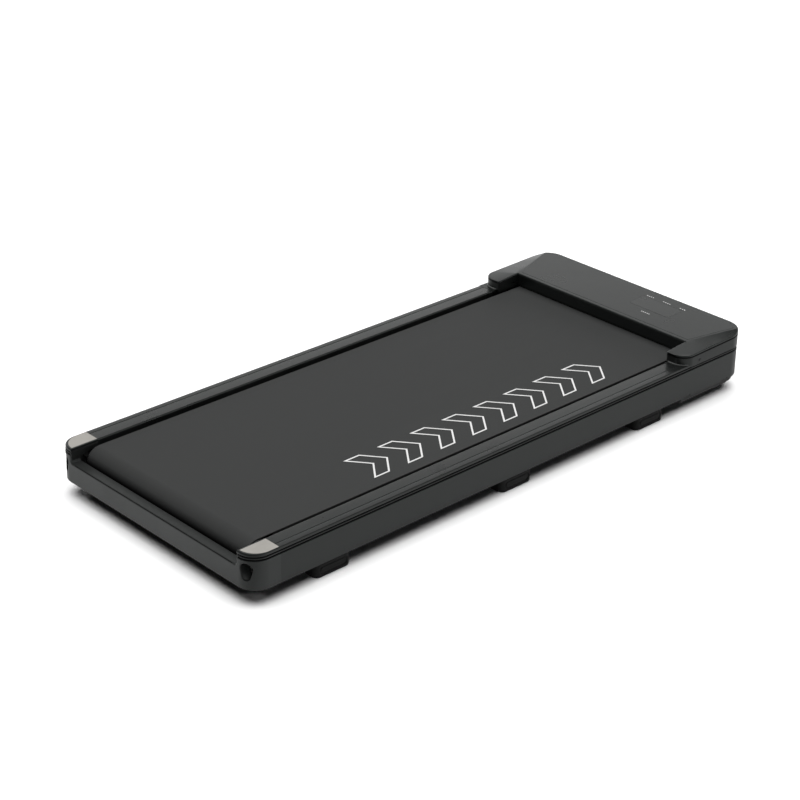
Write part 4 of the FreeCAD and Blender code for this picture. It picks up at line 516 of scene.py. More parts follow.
def belt_ink():
    """White ink that has cracked a little over the belt's diamonds."""
    material, tree, shader = new_material("printed_ink")
    worn = noise(tree, object_place(tree), 420.0, 4.0)
    patchy = between(tree, worn, 0.62, 0.80)
    base = blend(tree, patchy, tuple(settings("belt").ink), (0.34, 0.34, 0.335, 1.0))
    set_shader(tree, shader, base=base, rough=varied(tree, worn, 0.45, 0.60), gloss=0.35)
    return material


def pad_film():
    """Pale matt film of the corner pads, slightly soiled."""
    material, tree, shader = new_material("corner_pad_film")
    grain = effect(tree, grain_effect(), pitch=0.6 * MM)
    soil = between(tree, grain.outputs["Mottle"], 0.45, 0.75, 0.0, 0.35)
    base = blend(tree, soil, tuple(settings("detail").pad), (0.130, 0.123, 0.112, 1.0))
    bump(tree, shader, grain.outputs["Height"], 0.01 * MM)
    set_shader(tree, shader, base=base, rough=0.5, gloss=0.4)
    return material


def rubber():
    """Matt black rubber with a bloom of dust."""
    material, tree, shader = new_material("matt_rubber")
    grain = effect(tree, grain_effect(), pitch=0.7 * MM)
    dusty = effect(tree, dust_effect(), amount=0.25)
    mottle = grain.outputs["Mottle"]
    bloom = between(tree, mottle, 0.35, 0.75, 0.0, 0.30)
    plain = blend(tree, bloom, (0.0030, 0.0032, 0.0031, 1.0), (0.010, 0.010, 0.0097, 1.0))
    base = blend(tree, dusty.outputs["Dust"], plain, (0.034, 0.034, 0.032, 1.0))
    bump(tree, shader, grain.outputs["Height"], 0.05 * MM)
    set_shader(tree, shader, base=base, rough=varied(tree, mottle, 0.62, 0.80), gloss=0.30)
    return material


def powder_coat():
    """Black powder coat of the steel frame: orange-peel skin and chipped edges."""
    material, tree, shader = new_material("black_powder_coat")
    peel = effect(tree, grain_effect(), pitch=1.6 * MM)
    worn = effect(tree, wear_effect(), radius=0.8 * MM, amount=0.8)
    chips = between(tree, worn.outputs["Wear"], 0.30, 0.55)
    base = blend(tree, chips, (0.014, 0.014, 0.015, 1.0), (0.30, 0.30, 0.30, 1.0))
    bump(tree, shader, peel.outputs["Height"], 0.06 * MM)
    set_shader(tree, shader, base=base, metal=chips, rough=varied(tree, peel.outputs["Mottle"], 0.38, 0.50))
    return material


def drawn_metal(name, base, spots, rough):
    """Drawn or turned metal with fine lines and duller spots."""
    material, tree, shader = new_material(name)
    lines = effect(tree, brushed_effect(), lines=900.0)
    dull = effect(tree, grain_effect(), pitch=3 * MM)
    spotted = blend(tree, between(tree, dull.outputs["Mottle"], 0.4, 0.75), base, spots)
    relief = lines.outputs["Height"]
    bump(tree, shader, relief, 0.02 * MM)
    set_shader(tree, shader, base=spotted, metal=1.0, rough=varied(tree, relief, rough - 0.08, rough + 0.10))
    return material


def zinc_steel():
    return drawn_metal("zinc_steel", (0.48, 0.48, 0.47, 1.0), (0.36, 0.36, 0.35, 1.0), 0.32)


def black_screw_steel():
    return drawn_metal("black_screw_steel", (0.055, 0.055, 0.058, 1.0), (0.035, 0.034, 0.034, 1.0), 0.36)


def cast_alloy():
    return drawn_metal("cast_alloy", (0.62, 0.62, 0.61, 1.0), (0.50, 0.50, 0.49, 1.0), 0.36)


def motor_enamel():
    return drawn_metal("motor_enamel", (0.030, 0.030, 0.032, 1.0), (0.020, 0.020, 0.021, 1.0), 0.42)


def contact_pin():
    return drawn_metal("nickel_contact", (0.66, 0.61, 0.50, 1.0), (0.52, 0.48, 0.40, 1.0), 0.26)


def deck_film():
    """Slick black film on pressed board, dulled in streaks by the belt."""
    material, tree, shader = new_material("waxed_deck_film")
    rub = noise(tree, stretched(tree, object_place(tree), (40.0, 2.0, 40.0)), 1.0, 4.0)
    base = blend(tree, rub, (0.016, 0.016, 0.016, 1.0), (0.045, 0.044, 0.042, 1.0))
    set_shader(tree, shader, base=base, rough=varied(tree, rub, 0.22, 0.42))
    return material


def circuit_board():
    """Green solder mask over copper runs."""
    material, tree, shader = new_material("circuit_board")
    runs = add_node(tree, "ShaderNodeTexVoronoi", {
        "Vector": object_place(tree), "Scale": 260.0, "Randomness": 0.6}, distance="MANHATTAN")
    track = between(tree, runs.outputs["Distance"], 0.40, 0.46)
    base = blend(tree, track, (0.010, 0.070, 0.026, 1.0), (0.020, 0.130, 0.050, 1.0))
    bump(tree, shader, track, 0.05 * MM)
    set_shader(tree, shader, base=base, rough=0.32, coat=0.4)
    return material


def capacitor_sleeve():
    """Dark shrunk sleeve with a faint seam of gloss."""
    material, tree, shader = new_material("capacitor_sleeve")
    shrunk = effect(tree, grain_effect(), pitch=2 * MM)
    mottle = shrunk.outputs["Mottle"]
    base = blend(tree, mottle, (0.012, 0.014, 0.022, 1.0), (0.022, 0.024, 0.034, 1.0))
    set_shader(tree, shader, base=base, rough=varied(tree, mottle, 0.26, 0.40))
    return material


FINISHES = {
    "side_grey": side_plastic, "cap_grey": cap_plastic, "rail_grey": rail_plastic, "band_grey": band_plastic,
    "hood_grey": hood_plastic, "panel_grey": panel_film, "lens": smoked_lens, "belt": belt_rubber,
    "deck": deck_film, "rubber": rubber, "frame_black": powder_coat, "steel": zinc_steel,
    "screw_black": black_screw_steel, "alloy": cast_alloy, "motor_black": motor_enamel,
    "black_plastic": black_plastic, "button": button_plastic, "board": circuit_board,
    "capacitor": capacitor_sleeve, "pin": contact_pin, "lip": lip_plastic, "strip": strip_black,
    "ink": belt_ink, "pad": pad_film,
}


@cache
def finish(key):
    """The material of a slot or of a trim, made once."""
    return FINISHES[key]()


def slot_of(node):
    """The material slot that a CAD node was packed with."""
    return nodes[node].data.materials[0].name


slots = {name: slot_of(name) for name in nodes}
riders = frame["record"]["behaviour"]["bodies"]
bodies = {member: body for body, members in riders.items() for member in members}


def paint(*names):
    """Give CAD nodes the finish of their slots."""
    for name in names:
        nodes[name].data.materials[0] = finish(slots[name])


# Mesh helpers

def new_piece(name, mesh, body, material):
    """A finished piece that rides on a body."""
    mesh.materials.clear()
    mesh.materials.append(material)
    piece = bpy.data.objects.new(name, mesh)
    bpy.context.scene.collection.objects.link(piece)
    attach(piece, body)
    return piece


def settle(piece):
    """Turn a piece's modifiers into its own plain mesh."""
    depsgraph = bpy.context.evaluated_depsgraph_get()
    mesh = bpy.data.meshes.new_from_object(
        piece.evaluated_get(depsgraph), preserve_all_data_layers=True, depsgraph=depsgraph)
    piece.modifiers.clear()
    piece.data = mesh


def smooth(mesh, crease=CREASE_ANGLE):
    """Smooth shading that stops at sharp edges."""
    mesh.polygons.foreach_set("use_smooth", [True] * len(mesh.polygons))
    mesh.set_sharp_from_angle(angle=crease)


def over_box(edge, low, high):
    """Whether an edge lies over a box in plan, give or take a millimetre."""
    return all(low[k] - MM < vert.co[k] < high[k] + MM for vert in edge.verts for k in (0, 1))


def at_joint(edge):
    """Whether an edge lies in one of the planes where the side covers meet the tray and the rear cap."""
    return any(all(abs(vert.co.y - plane) < MM for vert in edge.verts) for plane in COVER_JOINTS)


def looks_down(edge):
    """Whether one of an edge's faces looks down."""
    return any(face.normal.z < -0.5 for face in edge.link_faces)


def moulded_copy(node, radius, segments=2, crisp=None):
    """A copy of a CAD shell with its convex edges rounded, which stands for the shell.

    Edges that the crisp test picks stay sharp, and so do those of the flush joints between covers.
    """
    work = bmesh.new()
    work.from_mesh(nodes[node].data)
    bmesh.ops.remove_doubles(work, verts=work.verts, dist=WELD)
    bmesh.ops.dissolve_limit(work, angle_limit=FLAT_ANGLE, verts=work.verts, edges=work.edges)
    edges = [edge for edge in work.edges if edge.is_manifold and edge.is_convex
             and edge.calc_face_angle() > CREASE_ANGLE
             and not at_joint(edge) and not (crisp and crisp(edge))]
    bmesh.ops.bevel(work, geom=edges, offset=radius, segments=segments, profile=0.5, affect="EDGES",
                    offset_type="OFFSET", clamp_overlap=False)
    mesh = mesh_of(work, f"{node}_moulded")
    smooth(mesh)
    piece = new_piece(f"{node}_moulded", mesh, bodies[node], finish(slots[node]))
    weighted = piece.modifiers.new("Even faces", "WEIGHTED_NORMAL")
    weighted.keep_sharp = True
    settle(piece)
    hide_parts(node)


def mesh_of(work, name):
    """The mesh of finished faces and points."""
    mesh = bpy.data.meshes.new(name)
    work.to_mesh(mesh)
    work.free()
    return mesh


def bridge(work, first, second):
    """Faces between two rings that have as many points."""
    corners = zip(first, first[1:] + first[:1], second[1:] + second[:1], second)
    return [work.faces.new(four) for four in corners]


def rectangle(left, rear, right, front):
    """Corners of a rectangle in plan, anticlockwise."""
    return [(left, rear), (right, rear), (right, front), (left, front)]


def mirrored(outline, side):
    """An outline as it is on the right, or swapped to the left by a side of -1."""
    return [(x * side, y) for x, y in outline]


def slab(outlines, bottom, top):
    """A flat mesh between two heights; a second outline with as many points is a hole in the first."""
    work = bmesh.new()
    rings = [[[work.verts.new((x, y, z)) for x, y in outline] for z in (bottom, top)] for outline in outlines]
    low, high = rings[0]
    if len(rings) == 1:
        work.faces.new(high)
        work.faces.new(low[::-1])
    else:
        hole_low, hole_high = rings[1]
        bridge(work, high, hole_high)
        bridge(work, hole_low, low)
    for lower, upper in rings:
        bridge(work, lower, upper)
    bmesh.ops.recalc_face_normals(work, faces=work.faces)
    return mesh_of(work, "slab")


def inset_outline(outline, width):
    """An outline moved inwards by an even width; its points run anticlockwise."""
    moved = []
    count = len(outline)
    for k in range(count):
        before, here, after = (Vector(outline[(k + step) % count]) for step in (-1, 0, 1))
        normals = []
        for start, end in ((before, here), (here, after)):
            along = (end - start).normalized()
            normals.append(Vector((-along.y, along.x)))
        miter = (normals[0] + normals[1]).normalized()
        moved.append(tuple(here + miter * (width / miter.dot(normals[0]))))
    return moved


def arc(centre, radius, start, end, steps):
    """Points of an arc, by its angles in degrees."""
    turns = [math.radians(start + (end - start) * k / steps) for k in range(steps + 1)]
    return [(centre[0] + radius * math.cos(turn), centre[1] + radius * math.sin(turn)) for turn in turns]


def ribbon(path, band, thickness):
    """A thin upright strip inside an open path; band gives its bottom and top at each place along it."""
    work = bmesh.new()
    rings = []
    last = len(path) - 1
    for k, point in enumerate(path):
        along = (Vector(path[min(k + 1, last)]) - Vector(path[max(k - 1, 0)])).normalized()
        outside = Vector(point)
        inside = outside + Vector((-along.y, along.x)) * thickness
        low, high = band(outside.y)
        corners = ((outside, low), (outside, high), (inside, high), (inside, low))
        rings.append([work.verts.new((place.x, place.y, z)) for place, z in corners])
    for first, second in zip(rings, rings[1:]):
        bridge(work, first, second)
    work.faces.new(rings[0])
    work.faces.new(rings[-1])
    bmesh.ops.recalc_face_normals(work, faces=work.faces)
    mesh = mesh_of(work, "ribbon")
    smooth(mesh)
    return mesh


def wrapped(start, rear_round, inset, rear):
    """Plan of the outside from a place at its right rear, round the front to the left rear."""
    side, end = solid_box[1].x - inset, solid_box[1].y - inset
    front_round = FRONT_ROUND - inset
    half = [(start, rear)] + arc((side - rear_round, rear + rear_round), rear_round, -90, 0, ROUND_STEPS)
    half += arc((side - front_round, end - front_round), front_round, 0, 90, ROUND_STEPS)
    return half + mirrored(reversed(half), -1)


# Geometry Nodes

def node_tree(name, inputs):
    """An empty Geometry Nodes tree with named inputs."""
    tree = bpy.data.node_groups.new(name, "GeometryNodeTree")
    tree.is_modifier = True
    tree.interface.new_socket("Geometry", in_out="INPUT", socket_type="NodeSocketGeometry")
    tree.interface.new_socket("Geometry", in_out="OUTPUT", socket_type="NodeSocketGeometry")
    for label, kind in inputs.items():
        tree.interface.new_socket(label, in_out="INPUT", socket_type=kind)
    return tree, tree.nodes.new("NodeGroupInput"), tree.nodes.new("NodeGroupOutput")


def run_tree(piece, tree, **values):
    """Run a tree on a piece with its inputs set, and keep the result as a plain mesh."""
    modifier = piece.modifiers.new(tree.name, "NODES")
    modifier.node_group = tree
    for item in tree.interface.items_tree:
        if item.in_out == "INPUT" and item.name in values:
            modifier[item.identifier] = values[item.name]
    settle(piece)


def finish_tree(tree, end, geometry, material):
    """Close a tree: real geometry, with its material."""
    real = add_node(tree, "GeometryNodeRealizeInstances", {0: geometry})
    coated = add_node(tree, "GeometryNodeSetMaterial", {"Geometry": real.outputs[0], "Material": material})
    tree.links.new(coated.outputs[0], end.inputs[0])


def row_tree():
    """Repeats the piece's own mesh in a straight row."""
    tree, start, end = node_tree("Even row", {
        "Count": "NodeSocketInt", "Step": "NodeSocketVector", "Material": "NodeSocketMaterial"})
    line = add_node(tree, "GeometryNodeMeshLine", {
        "Count": start.outputs["Count"], "Offset": start.outputs["Step"]}, mode="OFFSET")
    copies = add_node(tree, "GeometryNodeInstanceOnPoints", {
        "Points": line.outputs["Mesh"], "Instance": start.outputs["Geometry"]})
    finish_tree(tree, end, copies.outputs["Instances"], start.outputs["Material"])
    return tree


def screw_tree():
    """Puts a cross-recessed pan screw at each of the piece's points, turned one way."""
    floats = ("Head", "Thickness", "Shank", "Reach", "Recess")
    inputs = {label: "NodeSocketFloat" for label in floats}
    inputs.update({"Turn": "NodeSocketVector", "Material": "NodeSocketMaterial"})
    tree, start, end = node_tree("Cross-head screws", inputs)
    given = start.outputs
    head = add_node(tree, "GeometryNodeMeshCylinder", {
        "Vertices": 32, "Radius": given["Head"], "Depth": given["Thickness"]})
    half = maths(tree, "MULTIPLY", given["Thickness"], 0.5)
    raised = add_node(tree, "ShaderNodeCombineXYZ", {"Z": half})
    head_up = add_node(tree, "GeometryNodeTransform", {
        "Geometry": head.outputs["Mesh"], "Translation": raised.outputs[0]})
    arms = []
    long = maths(tree, "MULTIPLY", maths(tree, "MULTIPLY", given["Head"], given["Recess"]), 2.0)
    short = maths(tree, "MULTIPLY", long, RECESS_BREADTH)
    top = add_node(tree, "ShaderNodeCombineXYZ", {"Z": given["Thickness"]})
    for x, y in ((long, short), (short, long)):
        measure = add_node(tree, "ShaderNodeCombineXYZ", {"X": x, "Y": y, "Z": given["Thickness"]})
        arm = add_node(tree, "GeometryNodeMeshCube", {"Size": measure.outputs[0]})
        arms.append(add_node(tree, "GeometryNodeTransform", {
            "Geometry": arm.outputs["Mesh"], "Translation": top.outputs[0]}).outputs[0])
    cut = add_node(tree, "GeometryNodeMeshBoolean", {"Mesh 1": head_up.outputs[0]}, operation="DIFFERENCE")
    for arm in arms:
        tree.links.new(arm, cut.inputs["Mesh 2"])
    rod = add_node(tree, "GeometryNodeMeshCylinder", {
        "Vertices": 24, "Radius": given["Shank"], "Depth": given["Reach"]})
    down = add_node(tree, "ShaderNodeCombineXYZ", {"Z": maths(tree, "MULTIPLY", given["Reach"], -0.5)})
    rod_down = add_node(tree, "GeometryNodeTransform", {
        "Geometry": rod.outputs["Mesh"], "Translation": down.outputs[0]})
    whole = add_node(tree, "GeometryNodeJoinGeometry")
    tree.links.new(cut.outputs[0], whole.inputs[0])
    tree.links.new(rod_down.outputs[0], whole.inputs[0])
    copies = add_node(tree, "GeometryNodeInstanceOnPoints", {
        "Points": given["Geometry"], "Instance": whole.outputs[0], "Rotation": given["Turn"]})
    finish_tree(tree, end, copies.outputs["Instances"], given["Material"])
    return tree


class PieceOperator:
    """What this add-on's operators share."""

    bl_options = {"REGISTER", "UNDO"}

    def execute(self, context):
        self.make()
        return {"FINISHED"}


class WALKINGPAD_OT_shells(PieceOperator, bpy.types.Operator):
    """Round the edges of the moulded shells and give them their plastics"""

    bl_idname = "walking_pad.shells"
    bl_label = "Shells"

    def make(self):
        shell = settings("shell")
        for side in SIDES:
            for part in ("side_cover", "foot_rail", "rail_end_cap"):
                moulded_copy(f"{side}_{part}", shell.edge)
        for part in ("rear_end_cap", "front_tray", "bottom_cover"):
            moulded_copy(part, shell.edge)
        moulded_copy("hood_base", shell.panel_edge)
        moulded_copy("hood_cover", shell.hood_edge, 4,
                     lambda edge: looks_down(edge) or over_box(edge, panel_low, panel_high))
        moulded_copy("control_panel", shell.panel_edge)
        paint("display_lens")
        self.arm_lips(shell)

    def arm_lips(self, shell):
        """A thin lip round the foot of each arm of the hood, on the rail's front end."""
        inner, outer = rail_low.x, rail_high.x - PRINT_THICKNESS
        tip = hood_low.y - shell.lip
        outline = [(inner, tip + ARM_ROUND)]
        outline += arc((inner + ARM_TIP_ROUND, tip + ARM_TIP_ROUND), ARM_TIP_ROUND, 180, 270, TIP_STEPS)
        outline += arc((outer - ARM_ROUND, tip + ARM_ROUND), ARM_ROUND, 270, 360, ROUND_STEPS)
        bottom, top = rail_high.z + PRINT_LIFT, rail_high.z + LIP_HEIGHT
        for name, side in SIDES.items():
            mesh = slab([mirrored(outline, side)], bottom, top)
            new_piece(f"{name}_arm_lip", mesh, "base", finish("lip"))


def belt_mesh():
    """The belt as a band swept round both rollers, with a map of metres across and along it."""
    radius = (belt_high.z - belt_low.z) / 2
    height = (belt_high.z + belt_low.z) / 2
    rear, front = belt_low.y + radius, belt_high.y - radius
    half_turn = [math.pi * k / BELT_TURN_STEPS for k in range(BELT_TURN_STEPS + 1)]
    stations = [(front, turn) for turn in half_turn] + [(rear, math.pi + turn) for turn in half_turn]
    side, inside = belt_high.x, radius - BELT_THICKNESS
    right = [(side - BELT_EDGE, radius), (side, radius - BELT_EDGE), (side, inside + BELT_EDGE),
             (side - BELT_EDGE, inside)]
    left = mirrored(reversed(right), -1)
    section = [left[-1], *right, *left[:-1]]
    work = bmesh.new()
    rings = []
    travelled = [0.0]
    for y, turn in stations:
        out = Vector((0.0, math.sin(turn), math.cos(turn)))
        rings.append([work.verts.new(Vector((x, y, height)) + out * reach) for x, reach in section])
        if len(rings) > 1:
            travelled.append(travelled[-1] + (rings[-1][0].co - rings[-2][0].co).length)
    travelled.append(travelled[-1] + (rings[0][0].co - rings[-1][0].co).length)
    chart = work.loops.layers.uv.new("belt_run")
    for k, here in enumerate(rings):
        for s, face in enumerate(bridge(work, here, rings[(k + 1) % len(rings)])):
            n = (s + 1) % len(section)
            places = ((s, k), (n, k), (n, k + 1), (s, k + 1))
            for loop, (point, station) in zip(face.loops, places):
                loop[chart].uv = (section[point][0], travelled[station])
    bmesh.ops.recalc_face_normals(work, faces=work.faces)
    mesh = mesh_of(work, "belt")
    smooth(mesh)
    return mesh


def arrow_outline(belt):
    """An arrow that points forward, about its rear middle."""
    half, depth, point = belt.arrow_width / 2, belt.arrow_depth, belt.arrow_point
    return [(-half, 0.0), (0.0, point), (half, 0.0), (half, depth), (0.0, depth + point), (-half, depth)]


class WALKINGPAD_OT_belt(PieceOperator, bpy.types.Operator):
    """Make the running belt and the row of arrows printed on it"""

    bl_idname = "walking_pad.belt"
    bl_label = "Running belt"

    def make(self):
        belt = settings("belt")
        piece = new_piece("belt", belt_mesh(), "base", finish("belt"))
        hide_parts("running_belt")
        outline = arrow_outline(belt)
        surface = belt_high.z + PRINT_LIFT
        mesh = slab([outline, inset_outline(outline, belt.line)], surface, surface + PRINT_THICKNESS)
        mesh.transform(Matrix.Translation((belt.arrow_middle, -belt.arrow_start, 0.0)))
        ink = finish("ink")
        arrows = new_piece("belt_arrows", mesh, "base", ink)
        run_tree(arrows, row_tree(), Count=belt.arrow_count, Step=(0.0, belt.arrow_pitch, 0.0), Material=ink)


class WALKINGPAD_OT_trims(PieceOperator, bpy.types.Operator):
    """Lay black strips that paint shade into the shadow lines, and the guards beside and behind the belt"""

    bl_idname = "walking_pad.trims"
    bl_label = "Trims"

    def make(self):
        strip = settings("shell").strip
        inset = REVEAL_DEPTH - strip / 2
        rear = solid_box[0].y + inset
        around = wrapped(rail_high.x - REAR_ROUND, REAR_ROUND - inset, inset, rear)
        # Painted shade: black strips in the reveal and under the hood cover darken these shadow lines
        for name, heights in REVEAL_STRIPS.items():
            self.lay(f"{name}_reveal_painted_shade", ribbon(around, lambda y: heights, strip))
        tips = wrapped(rail_low.x, ARM_ROUND, -PRINT_LIFT, hood_low.y)
        self.lay("hood_seam_painted_shade", ribbon(tips, self.seam, strip))
        self.bar_line(settings("shell").parting / 2)
        self.guards()

    def bar_line(self, half):
        """A thin line half way round the rear edge of the rear bar."""
        into_round = BAR_ROUND * (1 - math.sqrt(0.5))
        y, z = solid_box[0].y + into_round, BAR_TOP - into_round
        side = belt_high.x
        outline = rectangle(-side, y - half, side, y + half)
        self.lay("rear_bar_line", slab([outline], z - half, z + half))

    def seam(self, y):
        """Bottom and top of the shadow line under the hood cover, which climbs to the front."""
        share = (y - hood_low.y) / (solid_box[1].y - hood_low.y)
        top = SEAM_REAR + (SEAM_FRONT - SEAM_REAR) * share
        return top - SEAM_LINE, top

    def guards(self):
        """Thin guards that close the slots between belt and rails and between belt and rear bar."""
        deck_low, deck_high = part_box("deck_board")
        thickness = settings("shell").strip * 2
        outline = rectangle(deck_high.x, belt_low.y, rail_low.x + MM, deck_high.y)
        for name, side in SIDES.items():
            mesh = slab([mirrored(outline, side)], deck_low.z, deck_low.z + thickness)
            self.lay(f"{name}_belt_guard", mesh)
        rear, front = belt_low.y - BELT_BAR_GAP, belt_low.y + 2 * BELT_BAR_GAP
        side = rail_low.x + BELT_BAR_GAP
        top = belt_low.z - GUARD_DROP
        self.lay("rear_belt_guard", slab([rectangle(-side, rear, side, front)], top - thickness, top))

    def lay(self, name, mesh):
        """A dark piece that stays with the machine's body."""
        new_piece(name, mesh, "base", finish("strip"))


class WALKINGPAD_OT_corner_pads(PieceOperator, bpy.types.Operator):
    """Lay a plain pad on each rear corner"""

    bl_idname = "walking_pad.corner_pads"
    bl_label = "Corner pads"

    def make(self):
        detail = settings("detail")
        inner, outer = cap_low.x + detail.pad_side, cap_high.x - detail.pad_side
        rear, front = cap_low.y + detail.pad_rear, cap_high.y
        radius = outer - inner
        outline = [(inner, front)] + arc((inner, rear + radius), radius, -90, 0, PAD_STEPS) + [(outer, front)]
        for name, side in SIDES.items():
            mesh = slab([mirrored(outline, side)], cap_high.z, cap_high.z + PRINT_THICKNESS)
            new_piece(f"{name}_corner_pad", mesh, "base", finish("pad"))


class WALKINGPAD_OT_key_marks(PieceOperator, bpy.types.Operator):
    """Print plain key marks beside the display"""

    bl_idname = "walking_pad.key_marks"
    bl_label = "Key marks"

    def make(self):
        height = settings("detail").mark_height
        work = bmesh.new()
        for middle, spans in KEY_ROWS.items():
            for start, end in spans:
                self.mark(work, start * MM, end * MM, middle * MM, height)
        new_piece("key_marks", mesh_of(work, "key_marks"), "base", finish("ink"))

    def mark(self, work, start, end, middle, height):
        """A row of short dashes on the sloping panel."""
        dash_pitch, dash_share = 2.4 * height, 0.55
        count = round((end - start) / dash_pitch)
        pitch = (end - start) / count
        for k in range(count):
            low = start + k * pitch
            high = low + dash_share * pitch
            outline = rectangle(low, middle - height / 2, high, middle + height / 2)
            bottom, top = ([work.verts.new((x, y, panel_high.z + HOOD_SLOPE * (y - panel_high.y) + lift))
                            for x, y in outline] for lift in (PRINT_LIFT, PRINT_LIFT + PRINT_THICKNESS))
            work.faces.new(top)
            work.faces.new(bottom[::-1])
            bridge(work, bottom, top)


class WALKINGPAD_OT_running_gear(PieceOperator, bpy.types.Operator):
    """Finish the rollers, axles, bearings, frame and deck"""

    bl_idname = "walking_pad.running_gear"
    bl_label = "Running gear"

    def make(self):
        for end in ("front", "rear"):
            paint(f"{end}_roller", f"{end}_axle", f"{end}_bearings")
        for side in SIDES:
            paint(f"{side}_frame_beam", f"{side}_tension_bolt")
        paint("cross_tubes", "deck_board", "deck_cushions", "front_brackets")


class WALKINGPAD_OT_drive(PieceOperator, bpy.types.Operator):
    """Finish the motor, pulleys, drive belt and controller"""

    bl_idname = "walking_pad.drive"
    bl_label = "Drive"

    def make(self):
        paint("motor_can", "motor_shaft", "motor_pulley", "motor_fan", "motor_mount", "motor_plate",
              "roller_pulley", "drive_belt", "controller_board", "heat_sink", "capacitors", "display_board")


class WALKINGPAD_OT_power_parts(PieceOperator, bpy.types.Operator):
    """Finish the power inlet, the switch and the breaker"""

    bl_idname = "walking_pad.power_parts"
    bl_label = "Power parts"

    def make(self):
        paint("inlet_pins", "switch_rocker", "breaker_button")
        for name in ("inlet_housing", "switch_bezel", "breaker_body"):
            moulded_copy(name, settings("shell").panel_edge)
        self.switch_marks(settings("detail"))

    def switch_marks(self, detail):
        """A stroke and a ring printed on the two halves of the rocker."""
        low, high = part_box("switch_rocker")
        middle = (low + high) / 2
        half, half_line = detail.switch_mark / 2, detail.switch_line / 2
        quarter = (high.z - low.z) / 4
        stroke = rectangle(-half_line, -half, half_line, half)
        circle = arc((0.0, 0.0), half, 0, 360 - 360 / RING_POINTS, RING_POINTS - 1)
        ring = [circle, inset_outline(circle, detail.switch_line)]
        ink = finish("ink")
        for name, outlines, rise in (("on", [stroke], quarter), ("off", ring, -quarter)):
            mesh = slab(outlines, PRINT_LIFT, PRINT_LIFT + PRINT_THICKNESS)
            for vert in mesh.vertices:
                x, z, lift = middle.x - vert.co.x, middle.z + rise + vert.co.y, vert.co.z
                hit, place, _, _ = nodes["switch_rocker"].ray_cast((x, high.y + MM, z), (0.0, -1.0, 0.0))
                if not hit:
                    raise RuntimeError("a switch mark misses the rocker")
                vert.co = (x, place.y + lift, z)
            new_piece(f"switch_{name}_mark", mesh, bodies["switch_rocker"], ink)


class WALKINGPAD_OT_feet_and_wheels(PieceOperator, bpy.types.Operator):
    """Finish the rubber feet and the transport wheels"""

    bl_idname = "walking_pad.feet_and_wheels"
    bl_label = "Feet and wheels"

    def make(self):
        for side in SIDES:
            for place in FOOT_PLACES:
                moulded_copy(f"{side}_{place}_foot", settings("detail").foot_edge)
            paint(f"{side}_transport_wheel")
        paint("wheel_pins", "wheel_forks")


class WALKINGPAD_OT_screws(PieceOperator, bpy.types.Operator):
    """Make the cross-head screws of the feet, covers, hood and deck"""

    bl_idname = "walking_pad.screws"
    bl_label = "Screws"

    def make(self):
        self.tree = screw_tree()
        feet = [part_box(f"left_{place}_foot") for place in FOOT_PLACES]
        foot_rows = [(low.y + high.y) / 2 for low, high in feet]
        half_turn = (math.pi, 0.0, 0.0)
        self.grid("foot_screws", half_turn, rows=foot_rows)
        self.grid("cover_screws", half_turn)
        self.grid("deck_screws", (0.0, 0.0, 0.0), row_count=4)
        self.hood_pair()

    def grid(self, node, turn, rows=None, row_count=2):
        """Screws in rows at both sides of a node's box, with their heads at its outer end."""
        head, thickness, shank = (measure * MM for measure in SCREW_SIZES[node])
        low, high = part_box(node)
        ends = (low.y + head, high.y - head)
        if rows is None:
            rows = [ends[0] + (ends[1] - ends[0]) * k / (row_count - 1) for k in range(row_count)]
        seat = low.z + thickness if turn[0] else high.z - thickness
        places = [(x, y, seat) for x in (low.x + head, high.x - head) for y in rows]
        self.put(node, node, places, head, thickness, shank, high.z - low.z - thickness, turn)

    def hood_pair(self):
        """One screw in each side of the hood's band."""
        low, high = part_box("hood_screws")
        head = (high.z - low.z) / 2
        middle = (low + high) / 2
        for name, side in SIDES.items():
            place = ((high.x - HOOD_SCREW_THICKNESS) * side, middle.y, middle.z)
            self.put(f"{name}_hood_screw", "hood_screws", [place], head, HOOD_SCREW_THICKNESS,
                     HOOD_SCREW_SHANK, HOOD_SCREW_REACH, (0.0, side * math.pi / 2, 0.0))

    def put(self, name, node, places, head, thickness, shank, reach, turn):
        """A screw at each place, which stand for the node's plain ones."""
        mesh = bpy.data.meshes.new(name)
        mesh.from_pydata(places, [], [])
        metal = finish("screw_black")
        piece = new_piece(f"{name}_detailed", mesh, bodies[node], metal)
        run_tree(piece, self.tree, Head=head, Thickness=thickness, Shank=shank, Reach=reach,
                 Recess=settings("detail").recess, Turn=turn, Material=metal)
        smooth(piece.data)
        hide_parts(node)


def camera(studio):
    """Camera at the photograph's place."""
    up = math.sin(studio.elevation)
    level = math.cos(studio.elevation)
    back = Vector((math.sin(studio.azimuth) * level, -math.cos(studio.azimuth) * level, up))
    data = bpy.data.cameras.new("studio_camera")
    data.sensor_width = 36.0
    data.lens = studio.lens
    data.clip_end = 100.0
    view = bpy.data.objects.new("studio_camera", data)
    view.location = Vector(studio.target) + back * studio.distance
    turn = (-back).to_track_quat("-Z", "Y").to_matrix() @ Matrix.Rotation(studio.roll, 3, "Z")
    view.rotation_euler = turn.to_euler()
    bpy.context.scene.collection.objects.link(view)
    bpy.context.scene.camera = view


